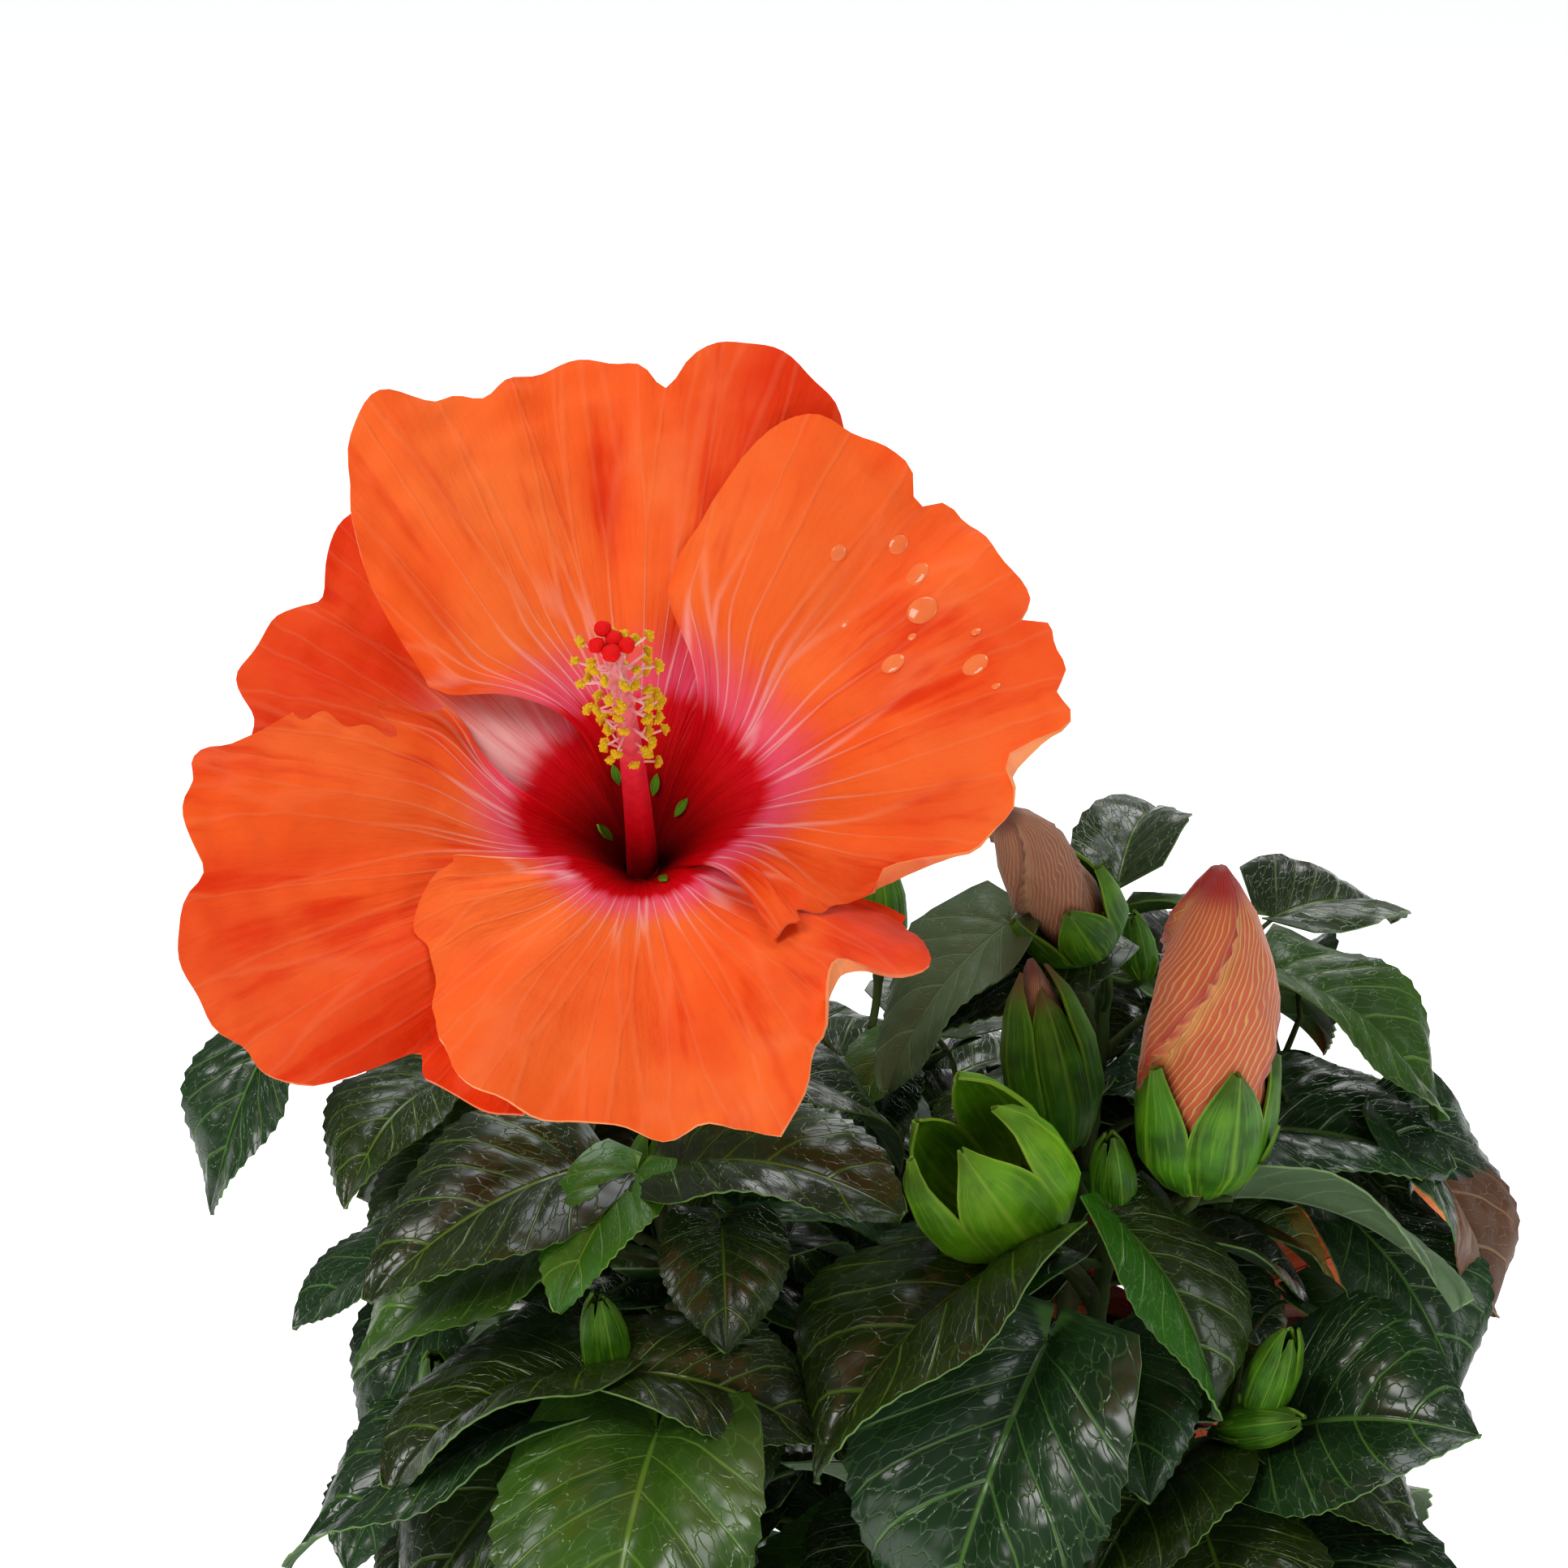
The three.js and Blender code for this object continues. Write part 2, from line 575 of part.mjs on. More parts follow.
/** Petals, staminal column, sepal cup and stalk of one blossom, as one solid. */
function bloomSolid(bloom, shootFoot) {
  const frame = bloomFrame(bloom);
  const place = (x, y, z) => new THREE.Vector3(x, y, z).applyMatrix4(frame);
  const out = heading(bloom.azimuth, bloom.elevation);
  const parts = PETALS.map((petal) => {
    const sheet = new THREE.BoxGeometry(2, 1, 1, PETAL.acrossSteps, PETAL.alongSteps, 1);
    return solidOf(
      reshape(sheet, (x, y, z) => petalPoint(petal, 0.5 - y, x, z * PETAL.thickness).applyMatrix4(frame)),
    );
  });
  const size = bloom.scale;
  const column = limb(
    place(0, 0, -PETAL.throatDepth),
    place(0, 0, COLUMN.length / 2),
    place(COLUMN.sway, 0, COLUMN.length),
  );
  parts.push(rod(column, COLUMN.footRadius * size, COLUMN.tipRadius * size, COLUMN.sides, COLUMN.steps));
  for (let i = 0; i < ANTHERS.count; i += 1) {
    const height = lerp(ANTHERS.from, ANTHERS.to, i / (ANTHERS.count - 1));
    const at = column.getPoint((height + PETAL.throatDepth) / (COLUMN.length + PETAL.throatDepth));
    parts.push(knob(at, frame, i * GOLDEN_TURN, ANTHERS.reach, ANTHERS.rise, ANTHERS.radius));
  }
  for (let i = 0; i < STIGMA.count; i += 1) {
    const turn = (i * 360) / STIGMA.count;
    parts.push(knob(column.getPoint(STIGMA.at), frame, turn, STIGMA.spread, STIGMA.rise, STIGMA.radius));
  }
  const base = place(0, 0, -CALYX.back);
  parts.push(turned(CALYX_PROFILE, CALYX.radius * size, (CALYX.back - CALYX.front) * size, 8, base, out));
  const stalk = limb(shootFoot, vector(bloom.stalk.bend), along(base, out, CALYX.stalkSunk));
  parts.push(rod(stalk, CALYX.stalkRadius, CALYX.stalkRadius, 5, 5));
  return join(parts);
}

/** Filament with an anther or a stigma pad at its end, off a point of the column. */
function knob(at, frame, turn, reach, rise, radius) {
  const size = frame.getMaxScaleOnAxis();
  const offset = new THREE.Vector3(reach * Math.cos(rad(turn)), reach * Math.sin(rad(turn)), rise);
  const end = along(at, offset.clone().transformDirection(frame), offset.length() * size);
  const filament = rod(limb(at, at.clone().lerp(end, 0.5), end), FILAMENT_RADIUS, FILAMENT_RADIUS, 3, 1);
  const pad = new THREE.OctahedronGeometry(radius * size);
  return filament.add(solidOf(pad.translate(end.x, end.y, end.z)));
}

// ---------------------------------------------------------------- growing the shrub

const overlaps = (one, other) => !one.intersect(other).isEmpty();

/** Grows every mass in turn; a leaf that would touch what stands already is turned or left out. */
function growMasses(limbs, blooms) {
  const names = Object.keys(SHOOTS);
  const forEachMass = (make) => Object.fromEntries(names.map((name) => [name, make(name)]));
  const curves = forEachMass(shootCurves);
  const knots = forEachMass((name) => curves[name].flatMap((curve) => curve.getPoints(6)));
  const twigs = forEachMass((name) => twigSolids(name, curves[name]));
  const fixed = join([...limbs, ...blooms]);
  const bare = join([fixed, ...names.flatMap((name) => twigs[name].fat)]);
  const leading = (name) => LEADING_LEAVES[name].map((row) => growLeaf(name, curves[name], row));
  const grown = names.flatMap(leading);
  for (const name of names) {
    const dice = new Dice(SEEDS[name]);
    const strangers = names.filter((other) => other !== name);
    const strange = join([fixed, ...strangers.flatMap((other) => twigs[other].fat)]);
    SHOOTS[name].forEach((shoot, index) => {
      for (let i = 0; i < shoot.leaves; i += 1) {
        const level = FIRST_LEVEL + (LEVEL_SPAN * (i + 0.5)) / shoot.leaves;
        const row = grownLeaf(index, level, shoot.turn + i * GOLDEN_TURN, dice);
        const tries = TRIES.map(([by, size]) => growLeaf(name, curves[name], changedRow(row, by, size)));
        const found = tries.find(
          (leaf) => keepsToSpace(leaf.pose, name, knots) && hasRoom(leaf, grown, bare, strange),
        );
        if (found) {
          grown.push(found);
        }
      }
    });
  }
  return forEachMass((name) => {
    const solids = grown.filter((leaf) => leaf.mass === name).map((leaf) => leafSolid(leaf.pose, 0));
    return oneBody(join([...twigs[name].slim, ...solids]).subtract(boughRod(name, GAP)));
  });
}

/** The row of a leaf turned round its shoot, and with its petiole and blade at a new size. */
function changedRow(row, by, size) {
  const changed = [...row];
  for (const turn of [ROW.turn, ROW.bladeTurn]) {
    changed[turn] += by;
  }
  for (const measure of [ROW.petiole, ROW.length, ROW.width]) {
    changed[measure] *= size;
  }
  return changed;
}

/** A leaf of a row: its pose, and its blade and whole solid with their berth. */
function growLeaf(mass, curves, row) {
  const pose = poseLeaf(curves, row);
  return { mass, pose, blade: bladeSolid(pose, BERTH), whole: leafSolid(pose, BERTH) };
}

/** Whether a leaf is clear of limbs, twigs, buds, blossoms and the leaves that stand already. */
function hasRoom(leaf, grown, bare, strange) {
  if (overlaps(leaf.blade, bare) || overlaps(leaf.whole, strange)) {
    return false;
  }
  return grown.every((other) =>
    other.mass === leaf.mass ? !overlaps(leaf.blade, other.blade) : !overlaps(leaf.whole, other.whole),
  );
}

/** Shoots and buds of a mass, slim as they are and fat with their berth. */
function twigSolids(name, curves) {
  const { footRadius, sideFootRadius, tipRadius, sides, steps } = SHOOT;
  const shoots = (spare) =>
    curves.map((curve, index) => {
      const foot = (index === 0 ? footRadius : sideFootRadius) + spare;
      return rod(curve, foot, tipRadius + spare, sides, steps);
    });
  const buds = BUDS.filter((bud) => bud.mass === name).map((bud) => budSolid(curves, bud));
  return { slim: [...shoots(0), ...buds], fat: [...shoots(BERTH), ...buds] };
}

/** A blossom's solid, its stalk cut clear of the shoot that carries it. */
function clearedBloom(bloom) {
  const { mass, shoot, level } = bloom.stalk;
  const curve = shootCurves(mass)[shoot];
  const { footRadius, tipRadius, sides, steps } = SHOOT;
  const taken = rod(curve, footRadius + GAP, tipRadius + GAP, sides, steps, GAP);
  return oneBody(bloomSolid(bloom, curve.getPoint(level)).subtract(taken));
}

// ---------------------------------------------------------------- the group

const FINISH = {
  bark: { color: 0x6b5a45, roughness: 0.85 },
  leaf: { color: 0x24352a, roughness: 0.35 },
  petal: { color: 0xf4672b, roughness: 0.55 },
};

function meshOf(name, solid, finish) {
  const { vertProperties, triVerts } = solid.getMesh();
  const geometry = new THREE.BufferGeometry();
  geometry.setAttribute('position', new THREE.BufferAttribute(vertProperties, 3));
  geometry.setIndex(new THREE.BufferAttribute(triVerts, 1));
  geometry.computeVertexNormals();
  const mesh = new THREE.Mesh(geometry, new THREE.MeshStandardMaterial({ ...finish, metalness: 0 }));
  mesh.name = name;
  return mesh;
}

const stem = stemSolid(0);
const boughs = boughSolids();
const blooms = Object.entries(BLOOMS).map(([name, bloom]) => [name, clearedBloom(bloom)]);
const masses = growMasses([stem, ...Object.values(boughs)], blooms.map(([, solid]) => solid));

const group = new THREE.Group();
group.add(meshOf('main_stem', stem, FINISH.bark));
for (const [name, solid] of Object.entries(boughs)) {
  group.add(meshOf(`bough_${name}`, solid, FINISH.bark));
}
for (const [name, solid] of Object.entries(masses)) {
  group.add(meshOf(`foliage_${name}`, solid, FINISH.leaf));
}
for (const [name, solid] of blooms) {
  group.add(meshOf(`blossom_${name}`, solid, FINISH.petal));
}

export default group;
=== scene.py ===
"""Hibiscus shrub: bark, leaves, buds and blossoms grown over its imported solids.

The growth rule of the solids is written again here and carried on to finer twigs. Sizes are in
millimetres and angles in degrees unless a name says otherwise; finished meshes are in metres.
"""

import logging
import math
from dataclasses import dataclass, field, replace
from enum import Enum
from typing import Any, Callable, Iterable, Optional, Union

import bmesh
import bpy
import numpy as np
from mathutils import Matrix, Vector
from mathutils.bvhtree import BVHTree


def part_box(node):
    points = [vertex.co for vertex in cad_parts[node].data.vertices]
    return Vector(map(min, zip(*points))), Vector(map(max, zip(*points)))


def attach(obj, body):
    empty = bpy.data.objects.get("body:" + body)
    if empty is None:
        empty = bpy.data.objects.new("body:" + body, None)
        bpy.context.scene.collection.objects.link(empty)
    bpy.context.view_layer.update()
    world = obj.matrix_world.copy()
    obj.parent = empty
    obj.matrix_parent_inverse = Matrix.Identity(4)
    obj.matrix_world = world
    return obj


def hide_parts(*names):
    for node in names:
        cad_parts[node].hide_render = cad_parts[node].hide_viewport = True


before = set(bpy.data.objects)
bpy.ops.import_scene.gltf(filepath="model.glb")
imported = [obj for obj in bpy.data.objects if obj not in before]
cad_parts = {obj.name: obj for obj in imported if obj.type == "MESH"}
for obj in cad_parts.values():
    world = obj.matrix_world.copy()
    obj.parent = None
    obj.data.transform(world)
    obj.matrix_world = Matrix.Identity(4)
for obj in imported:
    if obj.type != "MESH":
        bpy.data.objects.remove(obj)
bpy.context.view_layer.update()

LOG = logging.getLogger("hibiscus")

MM = 0.001
GOLDEN_TURN = 137.5
FULL_TURN = 6.28  # radians, for angles drawn at random
UV_NAME = "own"
X_AXIS = np.array([1.0, 0.0, 0.0])
Y_AXIS = np.array([0.0, 1.0, 0.0])

Colour = tuple[float, float, float, float]
Triple = tuple[float, float, float]
Number = Union[float, np.ndarray]
Socket = bpy.types.NodeSocket
Value = Union[float, tuple, str, bpy.types.NodeSocket]
Radius = Callable[[np.ndarray, np.ndarray], Number]


# ------------------------------------------------------------------ small helpers


def hex_colour(code: str) -> Colour:
    """Linear colour of a six-digit hex code.

    Args:
        code: Six hex digits, such as "ff8000".

    Returns:
        Red, green, blue and alpha.
    """
    parts = [int(code[i:i + 2], 16) / 255 for i in (0, 2, 4)]
    linear = [c / 12.92 if c <= 0.04045 else ((c + 0.055) / 1.055) ** 2.4 for c in parts]
    return (linear[0], linear[1], linear[2], 1.0)


def lerp(start: Number, end: Number, share: Number) -> Number:
    """Value between start and end at a share of the way."""
    return start + (end - start) * share


def smooth(low: float, high: float, value: Number) -> np.ndarray:
    """Smooth step from 0 at low to 1 at high."""
    share = np.clip((np.asarray(value) - low) / (high - low), 0, 1)
    return share * share * (3 - 2 * share)


def unit(vectors: np.ndarray) -> np.ndarray:
    """Vectors at length one."""
    return vectors / np.linalg.norm(vectors, axis=-1, keepdims=True)


def heading(turn: float, pitch: float) -> np.ndarray:
    """Unit vector at a turn about +Z and a pitch above the level, in degrees.

    Args:
        turn: Turn about the axis, in degrees.
        pitch: Rise above the level, in degrees.

    Returns:
        Vector of length 1.
    """
    level = math.cos(math.radians(pitch))
    turned = math.radians(turn)
    return np.array([level * math.cos(turned), level * math.sin(turned), math.sin(math.radians(pitch))])


def polar(radius: np.ndarray, angle: np.ndarray, height: np.ndarray) -> np.ndarray:
    """Points at radii, angles in radians and heights."""
    return np.stack([radius * np.cos(angle), radius * np.sin(angle), height], axis=1)


def strip(turn: float, reach: np.ndarray, side: np.ndarray, height: np.ndarray) -> np.ndarray:
    """Points of a narrow strip that runs outward at a turn in radians.

    Args:
        turn: its turn about the last axis.
        reach: how far out each point is.
        side: how far each is to the left of the strip's middle.
        height: how far each is along the last axis.

    Returns:
        One point for each row.
    """
    cosine, sine = math.cos(turn), math.sin(turn)
    return np.stack([reach * cosine - side * sine, reach * sine + side * cosine, height], axis=1)


class Dice:
    """Repeatable random numbers: the same seed grows the same shrub."""

    FACTOR, STEP, RANGE = 1664525, 1013904223, 4294967296

    def __init__(self, seed: int) -> None:
        """Starts from a seed."""
        self.state = seed

    def within(self, low: float, high: float) -> float:
        """Next number between low and high."""
        self.state = (self.state * self.FACTOR + self.STEP) % self.RANGE
        return low + (high - low) * self.state / self.RANGE


@dataclass(frozen=True)
class Curve:
    """A limb's line: a foot, a bend that it leans to and a tip."""

    foot: np.ndarray
    bend: np.ndarray
    tip: np.ndarray

    def at(self, share: Number) -> np.ndarray:
        """Points at shares of the way from foot to tip, one row each."""
        t = np.atleast_1d(np.asarray(share, float))[:, None]
        return (1 - t) ** 2 * self.foot + 2 * t * (1 - t) * self.bend + t * t * self.tip

    def point(self, share: float) -> np.ndarray:
        """One point at a share of the way."""
        return self.at(share)[0]

    def direction(self, share: Number) -> np.ndarray:
        """Unit directions of growth at shares of the way."""
        t = np.atleast_1d(np.asarray(share, float))[:, None]
        return unit((1 - t) * (self.bend - self.foot) + t * (self.tip - self.bend) + 1e-9)

    @staticmethod
    def of(foot: Iterable[float], bend: Iterable[float], tip: Iterable[float]) -> "Curve":
        """Curve through plain triples."""
        return Curve(np.array(foot, float), np.array(bend, float), np.array(tip, float))


@dataclass(frozen=True)
class Stand:
    """A place to build on: an origin and three axes, the last one outward."""

    origin: np.ndarray
    right: np.ndarray
    up: np.ndarray
    out: np.ndarray
    scale: float = 1.0

    def place(self, local: np.ndarray) -> np.ndarray:
        """World points of local ones."""
        axes = np.stack([self.right, self.up, self.out]) * self.scale
        return self.origin + local @ axes

    @staticmethod
    def along(origin: np.ndarray, out: np.ndarray, spin: float = 0.0) -> "Stand":
        """Stand whose last axis points along a direction, turned about it by spin degrees.

        Args:
            origin: Place of its origin.
            out: Direction it points in, of length 1.
            spin: Turn about that direction, in degrees.

        Returns:
            The frame.
        """
        reference = X_AXIS if abs(out[0]) < 0.75 else Y_AXIS
        side = unit(reference - out * float(reference @ out))
        across = np.cross(out, side)
        cosine, sine = math.cos(math.radians(spin)), math.sin(math.radians(spin))
        return Stand(origin, side * cosine + across * sine, across * cosine - side * sine, out)


# ------------------------------------------------------------------ templates and pieces


class Template:
    """A mesh made once by operators, with its own coordinates, to be placed many times."""

    def __init__(self, name: str, shape: bmesh.types.BMesh) -> None:
        """Keeps the mesh, its coordinates and its faces.

        Args:
            name: name of the mesh data.
            shape: the finished shape, which is freed.
        """
        self.mesh = bpy.data.meshes.new(name)
        shape.normal_update()
        shape.to_mesh(self.mesh)
        self.own = np.array([vertex.co[:] for vertex in shape.verts])
        self.faces = [tuple(vertex.index for vertex in face.verts) for face in shape.faces]
        self.middles = np.array([face.calc_center_median()[:] for face in shape.faces])
        shape.free()

    def spread(self) -> tuple[np.ndarray, np.ndarray]:
        """Across, from -1 to 1, and share of the way along of a sheet's vertices."""
        return -self.own[:, 0], (self.own[:, 1] + 1) / 2

    def wrap(self) -> tuple[np.ndarray, np.ndarray]:
        """Share of the way along and angle round of a tube's vertices."""
        return self.own[:, 2], np.arctan2(self.own[:, 1], self.own[:, 0])

    @staticmethod
    def sheet(columns: int, rows: int) -> "Template":
        """Flat sheet from -1 to 1 both ways, its rim edges sharp.

        Args:
            columns: faces across.
            rows: faces along.

        Returns:
            The sheet.
        """
        shape = bmesh.new()
        shape.loops.layers.uv.new(UV_NAME)
        bmesh.ops.create_grid(shape, x_segments=columns, y_segments=rows, size=1, calc_uvs=True)
        for edge in shape.edges:
            edge.smooth = not edge.is_boundary
        shape.verts.index_update()
        return Template("sheet", shape)

    @staticmethod
    def tube(sides: int, rows: int) -> "Template":
        """Closed tube of radius 1 from 0 to 1 along Z, wrapped from a sheet.

        Args:
            sides: faces around.
            rows: faces along.

        Returns:
            The tube.
        """
        shape = bmesh.new()
        shape.loops.layers.uv.new(UV_NAME)
        bmesh.ops.create_grid(shape, x_segments=sides, y_segments=rows, size=1, calc_uvs=True)
        for vertex in shape.verts:
            turn = math.pi * vertex.co.x
            vertex.co = Vector((math.cos(turn), math.sin(turn), (vertex.co.y + 1) / 2))
        bmesh.ops.remove_doubles(shape, verts=shape.verts, dist=1e-4)
        bmesh.ops.holes_fill(shape, edges=[edge for edge in shape.edges if edge.is_boundary])
        bmesh.ops.recalc_face_normals(shape, faces=shape.faces)
        shape.verts.index_update()
        return Template("tube", shape)

    @staticmethod
    def ball(subdivisions: int) -> "Template":
        """Round ball of radius 1.

        Args:
            subdivisions: How often the faces are split.

        Returns:
            The ball.
        """
        shape = bmesh.new()
        shape.loops.layers.uv.new(UV_NAME)
        bmesh.ops.create_icosphere(shape, subdivisions=subdivisions, radius=1, calc_uvs=True)
        shape.verts.index_update()
        return Template("ball", shape)

    @staticmethod
    def lens(rings: int) -> "Template":
        """Coarse lens of rings with four long edges, as the solids' leaves are.

        Args:
            rings: Rings from tip to tip.

        Returns:
            The lens.
        """
        shape = bmesh.new()
        bmesh.ops.create_uvsphere(shape, u_segments=4, v_segments=rings, radius=1)
        shape.verts.index_update()
        return Template("lens", shape)


class Piece:
    """Gathers placed copies of templates into one mesh piece of the shrub."""

    def __init__(self, name: str) -> None:
        """Starts an empty piece.

        Args:
            name: Name of the piece.
        """
        self.name = name
        self.shape = bmesh.new()
        self.points: list[np.ndarray] = []
        self.dressing: list[int] = []
        self.traits: dict[str, list[np.ndarray]] = {}

    def add(
        self, template: Template, points: np.ndarray, finish: Union[int, np.ndarray] = 0, **traits: Number
    ) -> None:
        """Adds one placed copy of a template.

        Args:
            template: the mesh to copy.
            points: world places of its vertices, in millimetres.
            finish: index of its upper face's material, one number or one per face.
            **traits: values for its vertices, one number or one per vertex.
        """
        count = sum(len(block) for block in self.points)
        self.shape.from_mesh(template.mesh)
        self.points.append(points)
        self.dressing.extend(np.broadcast_to(finish, len(template.faces)).tolist())
        for name in set(self.traits) | set(traits):
            blocks = self.traits.setdefault(name, [np.zeros(count)] if count else [])
            blocks.append(np.broadcast_to(np.asarray(traits.get(name, 0.0), float), len(points)))

    def build(
        self, materials: list[bpy.types.Material], slot: str, nodes: Iterable[str]
    ) -> bpy.types.Object:
        """Makes the object, dresses it and hands it to the frame.

        Args:
            materials: its material slots in order.
            slot: a slot of the record; not used.
            nodes: solids that it stands for.

        Returns:
            The finished object, at the origin.
        """
        mesh = bpy.data.meshes.new(self.name)
        self.shape.to_mesh(mesh)
        self.shape.free()
        mesh.vertices.foreach_set("co", (np.concatenate(self.points) * MM).ravel())
        mesh.polygons.foreach_set("material_index", self.dressing)
        mesh.polygons.foreach_set("use_smooth", [True] * len(mesh.polygons))
        for name, blocks in self.traits.items():
            trait = mesh.attributes.new(name, "FLOAT", "POINT")
            trait.data.foreach_set("value", np.concatenate(blocks).astype(np.float32))
        mesh.update()
        piece = bpy.data.objects.new(self.name, mesh)
        bpy.context.scene.collection.objects.link(piece)
        for material in materials:
            mesh.materials.append(material)
        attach(piece, "root")
        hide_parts(*nodes)
        LOG.info("%s: %d faces", self.name, len(mesh.polygons))
        return piece


def give_thickness(piece: bpy.types.Object, thickness: float, under: int = 0, rim: int = 0) -> None:
    """Gives a sheet piece its thickness below its upper face.

    Args:
        piece: the sheet piece.
        thickness: in millimetres.
        under: how many slots on from the upper face's material the underside's is.
        rim: how many slots on the rim's is.
    """
    wall = piece.modifiers.new("thickness", "SOLIDIFY")
    wall.thickness = thickness * MM
    wall.offset = -1
    wall.material_offset = under
    wall.material_offset_rim = rim


def tube_points(template: Template, curve: Curve, radius: Radius) -> np.ndarray:
    """Places a tube template along a curve.

    Args:
        template: a tube.
        curve: the line it follows.
        radius: radius in millimetres from arrays of the share along and the angle round.

    Returns:
        One point for each vertex.
    """
    share, angle = template.wrap()
    chord = unit(curve.tip - curve.foot)
    reference = X_AXIS if abs(chord[0]) < 0.75 else Y_AXIS
    tangent = curve.direction(share)
    side = unit(reference - tangent * (tangent @ reference)[:, None])
    across = np.cross(tangent, side)
    reach = np.broadcast_to(radius(share, angle), share.shape)[:, None]
    return curve.at(share) + (side * np.cos(angle)[:, None] + across * np.sin(angle)[:, None]) * reach


def tapered(foot: float, tip: float) -> Radius:
    """Radius rule of a plain taper."""
    return lambda share, angle: lerp(foot, tip, share)


# ------------------------------------------------------------------ finishes


class Shader:
    """Node tree of one material, wired by short calls."""

    def __init__(self, name: str) -> None:
        """Starts a material with a surface shader and its output.

        Args:
            name: Name of the material.
        """
        self.material = bpy.data.materials.new(name)
        self.material.use_nodes = True
        self.tree = self.material.node_tree
        self.tree.nodes.clear()
        output = self.tree.nodes.new("ShaderNodeOutputMaterial")
        self.surface = self.tree.nodes.new("ShaderNodeBsdfPrincipled")
        self.tree.links.new(self.surface.outputs["BSDF"], output.inputs["Surface"])
        self.place = self.tree.nodes.new("ShaderNodeTexCoord").outputs["Object"]

    def feed(self, socket: Socket, value: Value) -> None:
        """Links a socket to another, or sets its value.

        Args:
            socket: Socket to feed.
            value: Socket, number or colour.
        """
        if isinstance(value, bpy.types.NodeSocket):
            self.tree.links.new(value, socket)
        else:
            socket.default_value = hex_colour(value) if isinstance(value, str) else value

    def add(self, kind: str, inputs: dict, **settings: Any) -> bpy.types.Node:
        """Adds a node.

        Args:
            kind: node type.
            inputs: values or sockets for its inputs, by name or index.
            **settings: its own properties.

        Returns:
            The new node.
        """
        node = self.tree.nodes.new(kind)
        for name, value in settings.items():
            setattr(node, name, value)
        for name, value in inputs.items():
            self.feed(node.inputs[name], value)
        return node

    def calc(self, operation: str, first: Value, second: Value = 0.0, third: Value = 0.0) -> Socket:
        """Result of one math operation on numbers or sockets."""
        node = self.add("ShaderNodeMath", {0: first, 1: second, 2: third}, operation=operation)
        return node.outputs[0]

    def times(self, first: Value, second: Value) -> Socket:
        """Product of two numbers or sockets."""
        return self.calc("MULTIPLY", first, second)

    def plus(self, first: Value, second: Value) -> Socket:
        """Sum of two numbers or sockets."""
        return self.calc("ADD", first, second)

    def step(self, value: Value, low: float, high: float, start: float = 0.0, end: float = 1.0) -> Socket:
        """Smooth step of a value from start at low to end at high."""
        inputs = {"Value": value, "From Min": low, "From Max": high, "To Min": start, "To Max": end}
        return self.add("ShaderNodeMapRange", inputs, interpolation_type="SMOOTHSTEP").outputs["Result"]

    def mix(self, share: Value, first: Value, second: Value) -> Socket:
        """Mix of two colours.

        Args:
            share: Share of the second colour.
            first: Colour at share 0.
            second: Colour at share 1.

        Returns:
            Socket of the mixed colour.
        """
        node = self.add("ShaderNodeMix", {}, data_type="RGBA")
        self.feed(node.inputs["Factor"], share)
        self.feed(node.inputs[6], first)
        self.feed(node.inputs[7], second)
        return node.outputs[2]

    def noise(self, scale: float, detail: float = 3.0, vector: Optional[Socket] = None) -> Socket:
        """Noise between 0 and 1, by default through the piece's own space."""
        inputs = {"Vector": vector or self.place, "Scale": scale, "Detail": detail}
        return self.add("ShaderNodeTexNoise", inputs).outputs["Fac"]

    def grid(self) -> tuple[Socket, Socket]:
        """Across and along of the piece's own UV map.

        Returns:
            Sockets of both shares.
        """
        mapped = self.add("ShaderNodeUVMap", {}, uv_map=UV_NAME).outputs["UV"]
        split = self.add("ShaderNodeSeparateXYZ", {"Vector": mapped})
        return split.outputs["X"], split.outputs["Y"]

    def vector(self, x: Value, y: Value, z: Value = 0.0) -> Socket:
        """Vector joined from three numbers or sockets."""
        return self.add("ShaderNodeCombineXYZ", {"X": x, "Y": y, "Z": z}).outputs["Vector"]

    def trait(self, name: str) -> Socket:
        """A value that the piece's vertices carry."""
        return self.add("ShaderNodeAttribute", {}, attribute_name=name).outputs["Fac"]

    def cracks(self, vector: Socket) -> Socket:
        """Distance to the nearest edge of a net of cells."""
        inputs = {"Vector": vector, "Scale": 1.0}
        return self.add("ShaderNodeTexVoronoi", inputs, feature="DISTANCE_TO_EDGE").outputs["Distance"]

    def ramp(self, value: Value, stops: Iterable[tuple[float, str]]) -> Socket:
        """Colour of a value, from stops of place and hex colour.

        Args:
            value: Socket to look up.
            stops: Places and hex colours, in order.

        Returns:
            Socket of the colour.
        """
        node = self.add("ShaderNodeValToRGB", {"Fac": value})
        band = node.color_ramp
        for place, _ in stops[1:-1]:
            band.elements.new(place)
        for element, (place, code) in zip(band.elements, stops):
            element.position = place
            element.color = hex_colour(code)
        return node.outputs["Color"]

    def bump(self, height: Value, strength: float, distance: float) -> None:
        """Feeds the surface a normal bumped by a height, by a strength and a depth in millimetres."""
        inputs = {"Height": height, "Strength": strength, "Distance": distance * MM}
        self.feed(self.surface.inputs["Normal"], self.add("ShaderNodeBump", inputs).outputs["Normal"])

    def finish(self, **values: Value) -> bpy.types.Material:
        """Sets the surface shader's own sockets, by plain name, and returns the material.

        Args:
            **values: Values by socket name.

        Returns:
            The finished material.
        """
        for name, value in values.items():
            self.feed(self.surface.inputs[name.replace("_", " ").title().replace("Ior", "IOR")], value)
        return self.material


class Face(Enum):
    """The three faces of a leaf."""

    TOP = "top"
    UNDER = "under"
    RIM = "rim"


